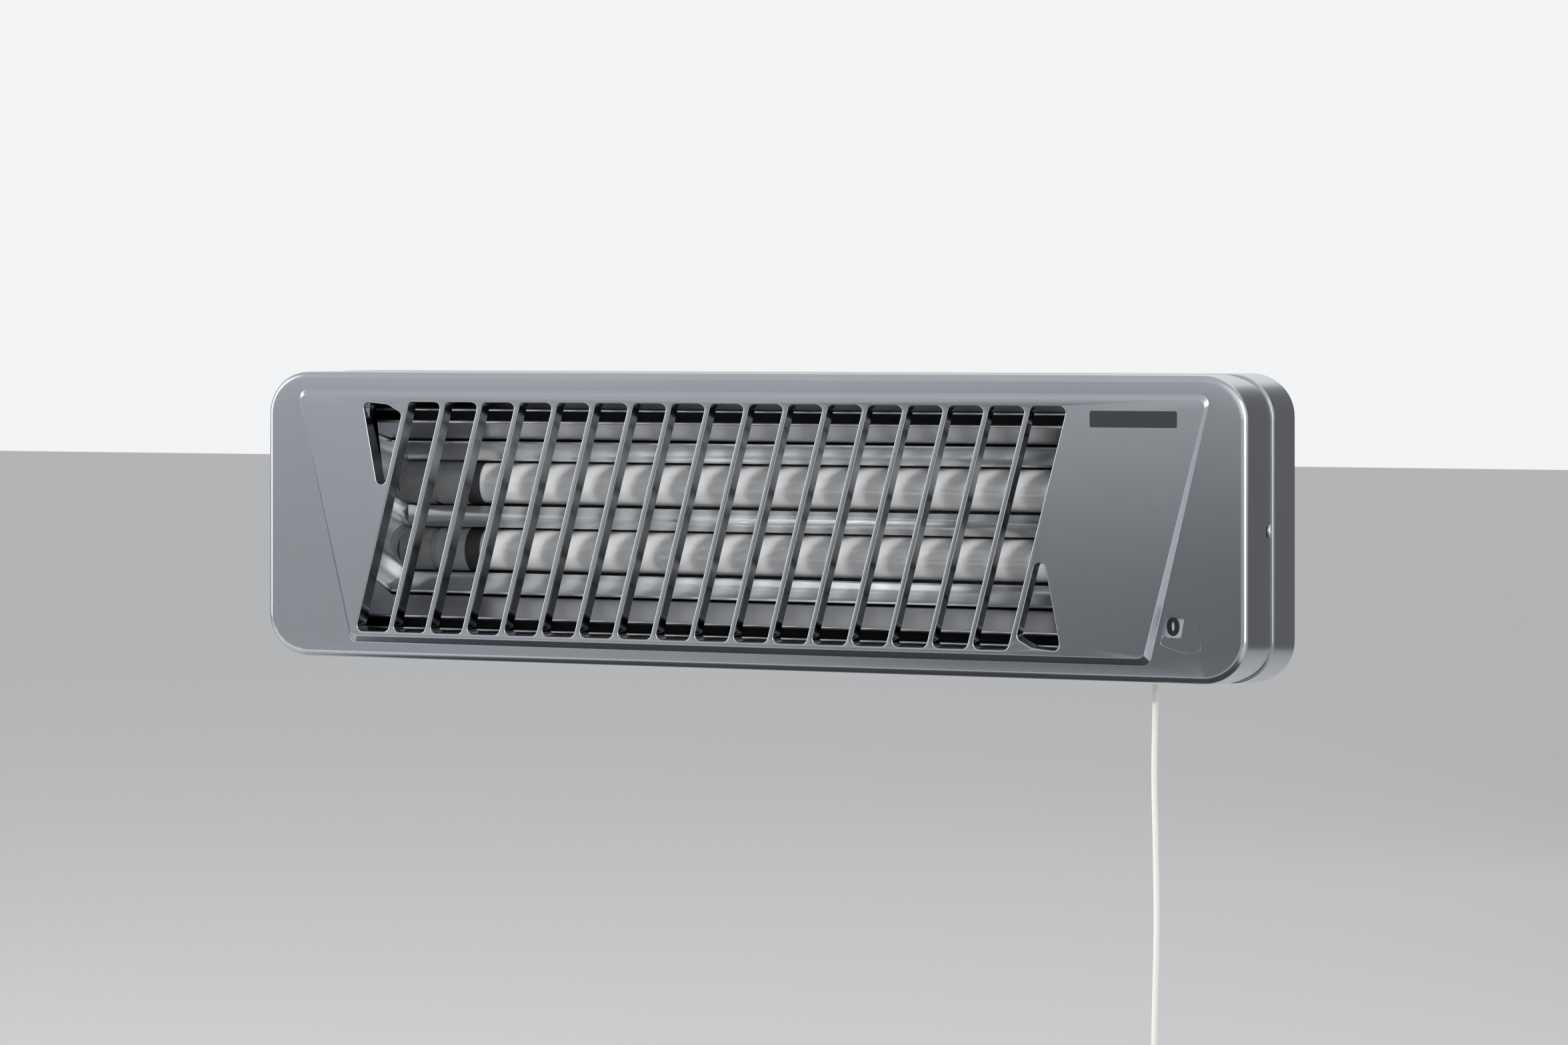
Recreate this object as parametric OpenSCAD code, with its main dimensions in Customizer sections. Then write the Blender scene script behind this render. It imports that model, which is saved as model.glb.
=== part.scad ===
/* [Casing] */
// Width of the casing at its rear rim
casing_w = 449; // [444:1:540]
// Height of the casing at its rear rim
casing_h = 133; // [126:1:160]
// Distance from the wall to the face of the raised panel
total_depth = 106; // [104:1:130]
// Depth of the casing from its front frame to its rear rim
body_depth = 85; // [84:1:100]
// How far each side spreads from the front frame to the rear rim
side_flare = 4; // [0:0.5:6]
// How far the underside falls from the front frame to the rear rim
bottom_drop = 7; // [0:0.5:9]
// Radius of the four corners seen from the front
corner_r = 18.5; // [12:0.5:24]
// Thickness of the casing sheet
wall = 2; // [1.5:0.1:2.4]
// Depth of the front cover's side, up to the joint channel
skirt_depth = 33; // [28:1:36]
// Width of the joint channel round the casing
channel_w = 14; // [8:1:16]
// Depth of the joint channel
channel_cut = 0.8; // [0.4:0.1:1.2]

/* [Panel] */
// Width of the raised panel along its top
panel_top_w = 410; // [350:1:416]
// Width of the raised panel along its bottom
panel_low_w = 358; // [340:1:400]
// Height of the raised panel
panel_h = 108.5; // [104:0.5:112]
// How far the panel stands proud at its top
panel_rise_top = 1.9; // [1:0.1:2.5]
// How far the panel stands proud at its bottom
panel_rise_low = 3; // [1:0.1:3.5]

/* [Grille] */
// Number of slanted bars
bar_count = 18; // [8:1:20]
// Spacing of the bars
bar_pitch = 17.6; // [14:0.1:17.8]
// Width of a bar's front edge
bar_w = 2.4; // [1.6:0.1:3]
// Depth of a bar behind the frame plane
bar_depth = 7; // [5:0.5:8]
// Height of the slots
slot_h = 101; // [90:1:102]
// Radius of the slot corners
slot_r = 2.5; // [1:0.5:3]
// Sideways run of a bar for each millimetre of its height
bar_lean = 0.25; // [0:0.05:0.3]
// Middle of the grille, left of the middle of the casing
grille_shift = 15; // [8:0.1:20]

/* [Heating] */
// Outside diameter of a quartz tube
tube_d = 18.5; // [14:0.5:19]
// Wall of a quartz tube
tube_wall = 1.5; // [1:0.1:2]
// Spacing of the two quartz tubes
tube_pitch = 30; // [28:0.5:32]
// Depth of the tube axes behind the frame plane
tube_depth = 50; // [49:0.5:52]
// Middle of the tubes, left of the middle of the casing
tube_shift = 4.5; // [4.5:0.1:16]
// Half the distance between the reflector end plates, at the tubes
reflector_half = 165.5; // [150:0.5:165.5]
// Lean of the left reflector end plate, in degrees
left_lean = 30; // [10:1:32]
// Lean of the right reflector end plate, in degrees
right_lean = 12; // [4:1:12]
// Thickness of the reflector sheets
sheet = 1; // [0.8:0.1:1.2]

/* [Tilting mount] */
// Spacing of the two wall screws
wall_hole_spacing = 100; // [80:1:110]
// Diameter of the wall screw holes
wall_hole_d = 6; // [5:0.5:7]
// Width of the wall bracket between the outer faces of its ears
bracket_w = 150; // [130:1:180]
// Thickness of the bracket sheet
bracket_t = 2; // [1.5:0.1:2.5]
// Height of the pivot below the wall screws
pivot_drop = 48; // [46:1:50]
// Diameter of the pivot pins
pin_d = 5; // [4:0.5:6]

/* [Pull switch] */
// Travel of the pull slider
pull_travel = 7.7; // [6:0.1:8]
// Diameter of the pull cord
cord_d = 2.5; // [2:0.1:3]
// Radius of the indicator disc
dial_r = 20.5; // [18:0.5:21]
// Diameter of the supply cable inlet
inlet_d = 8; // [6:0.5:9]

/* [Hidden] */
$fn = 48;
thin = 0.02;                // thickness of the slices that hulls are drawn between
fit = 0.05;                 // radial clearance of pieces that sit or turn in one another
seat_gap = 0.3;             // clearance between pieces that move past each other
face_gap = 0.1;             // clearance between flat faces that turn on each other

// Casing
front_off = total_depth - panel_rise_low;   // frame plane to wall
rear_gap = front_off - body_depth;          // rear rim to wall
half_h = (casing_h - bottom_drop) / 2;
edge_round = 2;
shell_front = skirt_depth + 0.4;
channel_end = skirt_depth + channel_w;
back_in = body_depth - wall;
tab_t = 1.6;
tab_from = skirt_depth - 9;
tab_to = skirt_depth + 12;
tab_half = 8;
hook_x = 120;
panel_mid_rise = (panel_rise_low + panel_rise_top) / 2;
panel_lean = atan((panel_rise_low - panel_rise_top) / panel_h);
cover_screw_d = 3;
cover_screw_y = skirt_depth + 6.5;
cover_screw_z = -2.3;
cover_screw_len = 7;
cover_head_r = 2.8;
cover_head_t = 1.4;
badge_x = [155.4, 192.2];
badge_z = [41.4, 48.4];
badge_cut = 0.3;
vent_count = 9;
vent_pitch = 34;
vent_size = [24, 3.5];
vent_z = [12, 5];

// Grille
slot_top = 49.9;
slot_low = slot_top - slot_h;
block_rim = 2;
first_bar = -grille_shift - (bar_count - 1) / 2 * bar_pitch;
last_bar = first_bar + (bar_count - 1) * bar_pitch;
end_apex_z = 4.5;
end_cut = [5, 20];

// Reflector, in depth behind the frame plane and height above the line between the tubes
axis_z = -2.4;
tube_r = tube_d / 2;
tube_h = tube_pitch / 2;
trough_r = tube_r + 2.15;
trough_open = 5;
trough_front = tube_depth - trough_open;
trough_turn = acos(-trough_open / trough_r);
ridge_turn = acos((sheet - trough_open) / (trough_r + sheet));
ridge_half = tube_h - trough_r * sin(trough_turn);
trough_out = 2 * tube_h - ridge_half;
strip_run = 8;
strip_out = trough_out + strip_run;
strip_front = trough_front - strip_run;
slit = 2;
tray_in = strip_out + slit;
tray_floor = tube_depth + trough_r + sheet + seat_gap;
flange_front = 18;
flange_out = tray_in + 7.6;
gutter_y = flange_front + 8;
gutter_out = flange_out + 6.4;
lip_r = 0.8;
tray_left = end_x(flange_front, left_lean) + 3;
tray_right = end_x(flange_front, right_lean) + 2;
tub_cut = tube_depth - 5;
post_x = 110;
post_h = 24;
post_r = 4;
tray_screw_d = 3;
tray_screw_len = 9;

// Ends of the tubes, measured outward from the middle of the reflector
cap_d = tube_d + 1.6;
collar_d = tube_d + 1.2;
cap_from = reflector_half - 27;
cap_to = reflector_half + 6;
tub_half = cap_to - 1.5;
groove_at = cap_from + 14.5;
groove_w = 2.4;
groove_d = 0.9;
cap_seat = 12;
collar_len = 7;
stud_r = 2;
stud_to = cap_to + 5.5;
strip_t = 0.8;
strip_w = 9;
nut_t = 2.8;
nut_r = 3.8;
coil_t = 1;
coil_r = tube_r - tube_wall - face_gap;
lead_r = 1;

// Bracket and pivot, in distance from the wall plane
pivot_y = -rear_gap / 2;
pivot_z = -pivot_drop;
plate_z = [-62, 24];
ear_x = bracket_w / 2;
ear_r = 6.5;
ear_base = 14;
washer_t = 0.8;
washer_r = 5.5;
yoke_t = 2;
yoke_ear_t = 3;
yoke_out = ear_x - bracket_t - washer_t - face_gap;
yoke_in = yoke_out - yoke_ear_t;
yoke_half_h = 11;
yoke_screw_x = [20, 50];
yoke_screw_d = 4;
yoke_screw_len = 6;
yoke_head_t = 1.8;
pin_head_r = 4.5;
pin_head_t = 2.5;
pin_nut_t = 3.5;
pin_nut_r = 5;

// Pull switch
cord_x = 177.3;
cord_depth = 24;
dial_x = 189.6;
dial_z = -24;
disc_y = [wall + 0.4, wall + 1.6];
house_x = [171, 209];
house_y = [5, 28];
house_z = [-48.3 - pull_travel, -6];
house_wall = 2;
lid_t = 2;
lid_y = house_y[1] + lid_t;
ear_points = [[house_x[0] + 3, house_z[1] + 3.6], [house_x[1] + 3.6, -44]];
switch_ear_r = 3.4;
switch_ear_t = 4;
switch_screw_r = 1.2;
switch_head_r = 2.3;
switch_head_t = 1.5;
wheel_r = 10.4;
wheel_root = 8.2;
wheel_y = [12, 17];
wheel_teeth = 9;
cam_r = 7;
cam_lobe = 1.4;
cam_y = [19, 25];
shaft_r = 3;
rod_r = 2;
slider_x = [house_x[0] + house_wall + seat_gap, dial_x - wheel_r - seat_gap];
slider_y = [10, house_y[1] - seat_gap];
slider_z = [-38, house_z[1] - house_wall - seat_gap];
pawl_t = 1.5;
spring_in = 2.6;
spring_out = 3.5;
blade_x = 201.5;
blade_z = [-16, -34];
common_blade = [190, -46];
blade_t = 1;
blade_w = 5;
blade_y = [19, 36];

// Cord, its bush and its pull
bottom_slope = atan(bottom_drop / body_depth);
bottom_at = -half_h - bottom_drop * cord_depth / body_depth;
bush_r = 5;
bush_rim_r = 6.5;
bush_bore_r = 3.8;
cup_r = 3.1;
cup_bore_r = 2.3;
cup_h = 5;
cord_r = cord_d / 2;
bead_r = 1.9;
bead_z = bottom_at + 0.4;
knob_len = 32;
knob_over = 11;
knob_r = 8;
knob_neck_r = 3.8;
knob_cavity_r = 5.4;
end_bead_r = 2.4;

// Window beside the slanted edge of the panel
window_points = [[185.4, -44.4], [187, -36.2], [194.6, -36.2], [193.2, -44.4]];
dish_points = [[184.6, -47.2], [187.6, -35.2], [197.4, -35.6], [199.6, -41], [201.2, -46],
    [201.4, -49.4], [196, -50.6], [189, -49]];
dish_cut = 0.5;
pane_lift = 0.2;

// The hanging cord's sideways drift and its drop, at points chosen by hand
cord_route = [[0, 0], [0, 4], [-0.1, 10], [-0.3, 18], [-0.5, 28], [-0.6, 38], [-0.5, 48],
    [-0.2, 58], [0, 68], [0.2, 80], [0.4, 92], [0.4, 104], [0.2, 116], [-0.1, 128],
    [-0.4, 140], [-0.6, 152], [-0.5, 164], [-0.3, 176], [-0.1, 190], [0, 204], [0, 218],
    [0, 228]];
cord_end = cord_route[len(cord_route) - 1];

// Fittings on the inside of the rear shell
cutout_x = 60;
cutout_z = 10;
cutout_r = 8;
cutout_y = [tray_floor + sheet, tray_floor + sheet + 7];
cutout_tab_x = 4;
block_x = [62, 98];
block_z = [-62, -46];
block_t = 12;
block_mid = back_in - block_t / 2;
block_screws = [71, 89];
block_screw_z = (block_z[0] + block_z[1]) / 2;
block_screw_r = 1.5;
block_head_r = 2.6;
block_head_t = 0.8;
block_floor = 3;
earth_at = [112, -54];
earth_head_r = 3.2;
earth_head_t = 2;
inlet_at = [134, -52];
grommet_wall = 2.4;
grommet_lip = 1.6;
grommet_over = 1.5;

// Wires
wire_r = 1.2;
left_stud_x = -tube_shift - cap_to - strip_t / 2;
right_stud_x = -tube_shift + stud_to;
link_low = -30;
tab_z = [cutout_z - 6, cutout_z + 6];
return_route = [[left_stud_x, tube_depth, link_low], [left_stud_x, tube_depth, -41],
    [-175, 54, -47], [-166, 62, -51], [-150, 71, -54], [-120, 76, -55], [-60, 77, -55],
    [0, 77, -55], [40, block_mid, -54], [block_x[0], block_mid, -54]];
live_route = [[94, block_mid, block_z[1]], [94, block_mid, -41], [88, 77, -30], [74, 77, -14],
    [66, 76, -4], [cutout_x + cutout_tab_x, 74, -1], [cutout_x + cutout_tab_x, 74, tab_z[0]]];
cutout_route = [[cutout_x - cutout_tab_x, 74, tab_z[1]], [cutout_x - cutout_tab_x, 74, 24],
    [62, 74, 35], [78, 74, 41], [120, 74, 43], [150, 72, 42], [163, 68.5, 37], [173, 64, 20],
    [178, 60, 0], [181, 57, -24], [185, 51, -40], [189, 45, -45],
    [common_blade[0], 41, common_blade[1]], [common_blade[0], blade_y[1], common_blade[1]]];
upper_route = [[right_stud_x, tube_depth, axis_z + tube_h],
    [right_stud_x + 6, tube_depth, axis_z + tube_h], [181, 50, 7], [190, 49, -4], [197, 46, -12],
    [blade_x, 41, blade_z[0]], [blade_x, blade_y[1], blade_z[0]]];
lower_route = [[right_stud_x, tube_depth, axis_z - tube_h],
    [right_stud_x + 6, tube_depth, axis_z - tube_h], [182, 50, -21], [191, 48, -28],
    [198, 45, -33], [blade_x, 41, blade_z[1]], [blade_x, blade_y[1], blade_z[1]]];

// ---------------------------------------------------------------- shapes

function half_w(y) = casing_w / 2 - side_flare * (1 - y / body_depth);
function low_z(y) = -half_h - bottom_drop * y / body_depth;
function slant(x, z) = x + bar_lean * z;
function end_x(y, lean) = reflector_half + tan(lean) * (tube_depth - y);
function arc(cx, cz, r, a0, a1, n) =
    [for (i = [0:n]) [cx + r * cos(a0 + (a1 - a0) * i / n), cz + r * sin(a0 + (a1 - a0) * i / n)]];
function section(y, inset) =
    let (x = half_w(y) - corner_r, top = half_h - corner_r, low = low_z(y) + corner_r,
        r = corner_r - inset)
    concat(arc(x, top, r, 0, 90, 8), arc(-x, top, r, 90, 180, 8),
        arc(-x, low, r, 180, 270, 8), arc(x, low, r, 270, 360, 8));
function trough(r, h, a0, a1) = arc(tube_depth, h, r, a0, a1, 24);
function unit(v) = v / norm(v);

// Points of a rounded corner b between its neighbours a and c
function soft_corner(a, b, c, r) =
    let (u = unit(a - b), v = unit(c - b), half = acos(u * v) / 2, mid = b + unit(u + v) * r / sin(half),
        p = b + u * r / tan(half) - mid, q = b + v * r / tan(half) - mid,
        a0 = atan2(p[1], p[0]), turn = atan2(p[0] * q[1] - p[1] * q[0], p * q))
    [for (i = [0:4]) mid + r * [cos(a0 + turn * i / 4), sin(a0 + turn * i / 4)]];
function softened(p, r) = let (n = len(p))
    [for (i = [0:n - 1]) each soft_corner(p[(i + n - 1) % n], p[i], p[(i + 1) % n], r)];

// Heater coordinates have the frame plane at y = 0 and the wall at y = front_off
module on_heater() {
    translate([0, -front_off, 0])
        children();
}

// Extrudes a flat outline given in x and z from depth y0 to depth y1
module plate(y0, y1) {
    translate([0, y1, 0])
        rotate([90, 0, 0])
            linear_extrude(y1 - y0)
                children();
}

// Extrudes a profile given in depth and height along x
module along_x(x0, x1) {
    translate([x0, 0, 0])
        rotate([90, 0, 90])
            linear_extrude(x1 - x0)
                children();
}

module rod_x(x0, x1, r, y, z, sides = $fn) {
    translate([x0, y, z])
        rotate([0, 90, 0])
            cylinder(h = x1 - x0, r = r, $fn = sides);
}

module rod_y(y0, y1, r, x, z, sides = $fn) {
    translate([x, y1, z])
        rotate([90, 0, 0])
            cylinder(h = y1 - y0, r = r, $fn = sides);
}

module rod_z(z0, z1, r, x, y) {
    translate([x, y, z0])
        cylinder(h = z1 - z0, r = r);
}

module box(x, y, z) {
    translate([x[0], y[0], z[0]])
        cube([x[1] - x[0], y[1] - y[0], z[1] - z[0]]);
}

module both_sides() {
    children();
    mirror([1, 0, 0])
        children();
}

// Places its children once for each tube, with the middle of the reflector at x = 0
module at_tubes() {
    for (h = [-tube_h, tube_h])
        translate([-tube_shift, 0, axis_z + h])
            children();
}

module casing_solid(y0, y1, inset0, inset1) {
    hull() {
        plate(y0, y0 + thin)
            polygon(section(y0, inset0));
        plate(y1 - thin, y1)
            polygon(section(y1, inset1));
    }
}

// A tube swept along route points, with its ends square to the first and last stretch
function heading(p, i) = unit(p[min(i + 1, len(p) - 1)] - p[max(i - 1, 0)]);
function side_of(t) = unit(cross(t, abs(t[1]) < 0.9 ? [0, 1, 0] : [1, 0, 0]));
function ring(p, i, r, n) =
    let (t = heading(p, i), u = side_of(t), v = cross(t, u))
    [for (k = [0:n - 1]) p[i] + r * (cos(360 * k / n) * u + sin(360 * k / n) * v)];

module swept_tube(p, r, n = 8) {
    points = [for (i = [0:len(p) - 1]) each ring(p, i, r, n)];
    last = (len(p) - 1) * n;
    sides = [for (i = [0:len(p) - 2], k = [0:n - 1])
        let (a = i * n + k, b = i * n + (k + 1) % n) each [[a, b, a + n], [b, b + n, a + n]]];
    caps = [[for (k = [n - 1:-1:0]) k], [for (k = [0:n - 1]) last + k]];
    polyhedron(points, concat(caps, sides));
}

// ---------------------------------------------------------------- wall mount

module ear_outline() {
    translate([pivot_y, pivot_z])
        circle(ear_r);
    polygon([[-bracket_t, pivot_z - ear_base], [-bracket_t, pivot_z + ear_base],
        [pivot_y, pivot_z + ear_r], [pivot_y, pivot_z - ear_r]]);
}

module pivot_bore() {
    both_sides()
        rod_x(yoke_in - 10, ear_x + 10, pin_d / 2 + fit, pivot_y, pivot_z);
}

module wall_bracket() {
    color("#b4b7bb")
        difference() {
            union() {
                box([-ear_x, ear_x], [-bracket_t, 0], plate_z);
                both_sides()
                    along_x(ear_x - bracket_t, ear_x)
                        ear_outline();
            }
            for (x = [-wall_hole_spacing / 2, wall_hole_spacing / 2])
                rod_y(-bracket_t - 1, 1, wall_hole_d / 2, x, 0);
            pivot_bore();
        }
}

module pivot_pins() {
    color("#8d9094")
        both_sides() {
            rod_x(ear_x, ear_x + pin_head_t, pin_head_r, pivot_y, pivot_z);
            rod_x(yoke_in - face_gap - pin_nut_t, ear_x + thin, pin_d / 2, pivot_y, pivot_z);
        }
}

module pivot_washers() {
    color("#3c3d40")
        difference() {
            both_sides()
                rod_x(ear_x - bracket_t - washer_t, ear_x - bracket_t, washer_r, pivot_y, pivot_z);
            pivot_bore();
        }
}

module pivot_nuts() {
    nut_end = yoke_in - face_gap;
    color("#8d9094")
        difference() {
            both_sides()
                rod_x(nut_end - pin_nut_t, nut_end, pin_nut_r, pivot_y, pivot_z, 6);
            pivot_bore();
        }
}

module hinge_yoke() {
    color("#a8abb0")
        difference() {
            union() {
                box([-yoke_out, yoke_out], [-rear_gap, yoke_t - rear_gap],
                    [pivot_z - yoke_half_h, pivot_z + yoke_half_h]);
                both_sides()
                    along_x(yoke_in, yoke_out)
                        union() {
                            translate([pivot_y, pivot_z])
                                circle(ear_r);
                            polygon([[yoke_t - rear_gap, pivot_z - yoke_half_h],
                                [yoke_t - rear_gap, pivot_z + yoke_half_h],
                                [pivot_y, pivot_z + ear_r], [pivot_y, pivot_z - ear_r]]);
                        }
            }
            pivot_bore();
            on_heater()
                yoke_screw_holes();
        }
}

module at_yoke_screws() {
    for (x = yoke_screw_x, side = [-1, 1])
        translate([side * x, 0, pivot_z])
            children();
}

module yoke_screw_holes() {
    at_yoke_screws()
        rod_y(body_depth - yoke_t - wall - 1, body_depth + yoke_t + 1, yoke_screw_d / 2 + fit, 0, 0);
}

module yoke_screws() {
    head_y = body_depth + yoke_t;
    color("#8d9094") on_heater()
        at_yoke_screws() {
            rod_y(head_y - yoke_screw_len, head_y + thin, yoke_screw_d / 2, 0, 0);
            rod_y(head_y, head_y + yoke_head_t, yoke_screw_d * 0.85, 0, 0);
        }
}

// ---------------------------------------------------------------- casing

module cover_screw_holes() {
    both_sides()
        rod_x(half_w(0) - 20, half_w(body_depth) + 1, cover_screw_d / 2 + fit,
            cover_screw_y, cover_screw_z);
}

// The outside of the rear shell behind the channel, whose edge is cut at 45 degrees
module bevelled_shell() {
    hull() {
        plate(channel_end - channel_cut / 2, channel_end - channel_cut / 2 + thin)
            polygon(section(channel_end, channel_cut * 1.5));
        plate(channel_end + channel_cut, channel_end + channel_cut + thin)
            polygon(section(channel_end, 0));
        plate(body_depth - thin, body_depth)
            polygon(section(body_depth, 0));
    }
}

module rear_shell() {
    color("#8f9399") on_heater()
        difference() {
            union() {
                difference() {
                    union() {
                        casing_solid(shell_front, channel_end + channel_cut / 2, channel_cut,
                            channel_cut);
                        bevelled_shell();
                    }
                    casing_solid(shell_front - 1, back_in, wall, wall);
                }
                at_posts()
                    rod_y(tray_floor + sheet, back_in + thin, post_r, 0, 0);
            }
            at_posts()
                rod_y(tray_floor, tray_floor + tray_screw_len, tray_screw_d / 2 + fit, 0, 0);
            cover_screw_holes();
            yoke_screw_holes();
            rod_y(back_in - 1, body_depth + 1, inlet_d / 2 + grommet_wall + fit,
                inlet_at[0], inlet_at[1]);
            rod_y(back_in - 1, body_depth + 1, cover_screw_d / 2 + fit, earth_at[0], earth_at[1]);
            for (z = vent_z, i = [0:vent_count - 1]) {
                x = (i - (vent_count - 1) / 2) * vent_pitch;
                box([x - vent_size[0] / 2, x + vent_size[0] / 2], [back_in - 1, body_depth + 1],
                    [z, z + vent_size[1]]);
            }
        }
}

module panel_outline(grow) {
    top = panel_h / 2 + grow;
    polygon([[-panel_top_w / 2 - grow, top], [panel_top_w / 2 + grow, top],
        [panel_low_w / 2 + grow, -top], [-panel_low_w / 2 - grow, -top]]);
}

// Puts its children on the face of the raised panel, which leans so that its bottom stands out
module on_panel() {
    translate([0, -panel_mid_rise, 0])
        rotate([-panel_lean, 0, 0])
            children();
}

module raised_panel() {
    hull() {
        plate(0, wall)
            panel_outline(panel_mid_rise / 2);
        on_panel()
            plate(0, thin)
                panel_outline(-panel_mid_rise / 2);
    }
}

module cut_through(points) {
    plate(-panel_rise_low - 2, bar_depth + 1)
        polygon(softened(points, slot_r));
}

module slots() {
    inset = bar_w / 2;
    for (i = [0:bar_count - 2]) {
        left = first_bar + i * bar_pitch + inset;
        right = left + bar_pitch - bar_w;
        cut_through([[slant(left, slot_low), slot_low], [slant(right, slot_low), slot_low],
            [slant(right, slot_top), slot_top], [slant(left, slot_top), slot_top]]);
    }
    // The half openings at the two ends of the grille, each the other one turned about
    apex = slant(first_bar, end_apex_z) - inset;
    top = slant(first_bar, slot_top) - inset;
    end_half = [[apex, end_apex_z], [top - end_cut[0] / 4, slot_top - end_cut[0]],
        [top - 1.6 * end_cut[0], slot_top - end_cut[0] / 4], [top - end_cut[1], slot_top]];
    far_half = [for (p = end_half) [-2 * grille_shift - p[0], slot_top + slot_low - p[1]]];
    cut_through(end_half);
    cut_through(far_half);
}

module grille_block() {
    reach = bar_pitch + block_rim;
    low = slot_low - block_rim;
    top = slot_top + block_rim;
    plate(0, bar_depth)
        polygon([[slant(first_bar, low) - block_rim, low], [slant(last_bar, low) + reach, low],
            [slant(last_bar, top) + block_rim, top], [slant(first_bar, top) - reach, top]]);
}

module cover_side_tab() {
    inner = wall + fit + tab_t;
    translate([0, 0, cover_screw_z - tab_half])
        linear_extrude(2 * tab_half)
            polygon([[half_w(tab_from) - inner, tab_from],
                [half_w(tab_from) - wall + 0.5, tab_from],
                [half_w(skirt_depth) - wall + 0.5, skirt_depth],
                [half_w(skirt_depth) - wall - fit, skirt_depth],
                [half_w(tab_to) - wall - fit, tab_to],
                [half_w(tab_to) - inner, tab_to]]);
}

module cover_top_hook() {
    under = half_h - wall - fit - tab_t;
    box([hook_x - tab_half, hook_x + tab_half], [tab_from, tab_to], [under, half_h - wall - fit]);
    box([hook_x - tab_half, hook_x + tab_half], [tab_from, skirt_depth],
        [under, half_h - wall + 0.5]);
}

module switch_posts() {
    difference() {
        for (p = ear_points)
            rod_y(wall - thin, house_y[0], switch_ear_r, p[0], p[1]);
        for (p = ear_points)
            rod_y(wall, house_y[0] + 1, switch_screw_r + fit, p[0], p[1]);
    }
}

module front_cover() {
    color("#9a9ea4") on_heater() {
        difference() {
            union() {
                difference() {
                    hull() {
                        plate(0, thin)
                            polygon(section(0, edge_round));
                        plate(edge_round * 0.3, edge_round * 0.3 + thin)
                            polygon(section(edge_round * 0.3, edge_round * 0.3));
                        plate(edge_round, edge_round + thin)
                            polygon(section(edge_round, 0));
                        plate(skirt_depth - thin, skirt_depth)
                            polygon(section(skirt_depth, 0));
                    }
                    casing_solid(wall, skirt_depth + 1, wall, wall);
                }
                raised_panel();
                grille_block();
                both_sides() {
                    cover_side_tab();
                    cover_top_hook();
                }
            }
            slots();
            plate(-4, wall + 1)
                polygon(window_points);
            plate(-1, dish_cut)
                polygon(dish_points);
            on_panel()
                box(badge_x, [-1, badge_cut], badge_z);
            cover_screw_holes();
            at_bush()
                rod_z(-wall - 2, wall + 2, bush_r + fit, 0, 0);
        }
        switch_posts();
    }
}

module cover_screws() {
    neck = half_w(cover_screw_y) - channel_cut + 0.15;
    color("#8a8d92") on_heater()
        both_sides() {
            rod_x(neck - cover_screw_len, neck + thin, cover_screw_d / 2, cover_screw_y,
                cover_screw_z);
            rod_x(neck, neck + cover_head_t, cover_head_r, cover_screw_y, cover_screw_z);
        }
}

module blank_badge() {
    color("#3b3f45") on_heater()
        on_panel()
            box([badge_x[0] + fit, badge_x[1] - fit], [0, badge_cut],
                [badge_z[0] + fit, badge_z[1] - fit]);
}

module indicator_window() {
    color("#c9d2d8") on_heater()
        plate(dish_cut + pane_lift, wall)
            offset(delta = -fit)
                polygon(window_points);
}

// ---------------------------------------------------------------- reflector and tubes

module tray_profile() {
    out = tray_in + sheet;
    back = tray_floor + sheet;
    lip = flange_out + sheet;
    gutter = gutter_y + sheet;
    side = [[tray_floor, tray_in], [strip_front, tray_in], [flange_front, flange_out],
        [flange_front, lip], [gutter_y, lip], [gutter_y, gutter_out - sheet],
        [flange_front, gutter_out - sheet], [flange_front, gutter_out], [gutter, gutter_out],
        [gutter, lip - sheet / 2], [strip_front, out], [back, out]];
    polygon(concat(side, [for (i = [len(side) - 1:-1:0]) [side[i][0], -side[i][1]]]));
}

module at_posts() {
    for (x = [-post_x, post_x], h = [-post_h, post_h])
        translate([x - tube_shift, 0, axis_z + h])
            children();
}

module reflector_tray() {
    color("#a9abae") on_heater()
        difference() {
            translate([-tube_shift, 0, axis_z]) {
                along_x(-tray_left, tray_right)
                    tray_profile();
                for (side = [-1, 1], h = [flange_out + sheet / 2, gutter_out - sheet / 2])
                    rod_x(-tray_left, tray_right, lip_r, flange_front, side * h);
            }
            translate([-tube_shift, 0, axis_z])
                for (x = [[-tray_left - 1, -tub_half], [tub_half, tray_right + 1]])
                    box(x, [tub_cut, tray_floor + sheet + 1], [-gutter_out, gutter_out]);
            at_posts()
                rod_y(tray_floor - 1, tray_floor + sheet + 1, tray_screw_d / 2 + fit, 0, 0);
        }
}

module tray_screws() {
    head_y = tray_floor - 1.6;
    color("#8d9094") on_heater()
        at_posts() {
            rod_y(head_y, tray_floor, tray_screw_d * 0.9, 0, 0);
            rod_y(tray_floor - thin, tray_floor + tray_screw_len - 1, tray_screw_d / 2, 0, 0);
        }
}

module reflector_profile() {
    front = concat([[strip_front, -strip_out]], trough(trough_r, -tube_h, -trough_turn, trough_turn),
        trough(trough_r, tube_h, -trough_turn, trough_turn), [[strip_front, strip_out]]);
    back = concat([[strip_front + 0.7 * sheet, strip_out + 0.7 * sheet]],
        trough(trough_r + sheet, tube_h, trough_turn - 4, -ridge_turn),
        trough(trough_r + sheet, -tube_h, ridge_turn, 4 - trough_turn),
        [[strip_front + 0.7 * sheet, -strip_out - 0.7 * sheet]]);
    polygon(concat(front, back));
}

// Everything between the inner faces of the two leaning end plates
module between_ends(grow) {
    near = flange_front - 4;
    far = tray_floor + 4;
    translate([-tube_shift, 0, axis_z - 60])
        linear_extrude(120)
            polygon([[-end_x(near, left_lean) - grow, near], [end_x(near, right_lean) + grow, near],
                [end_x(far, right_lean) + grow, far], [-end_x(far, left_lean) - grow, far]]);
}

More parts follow.
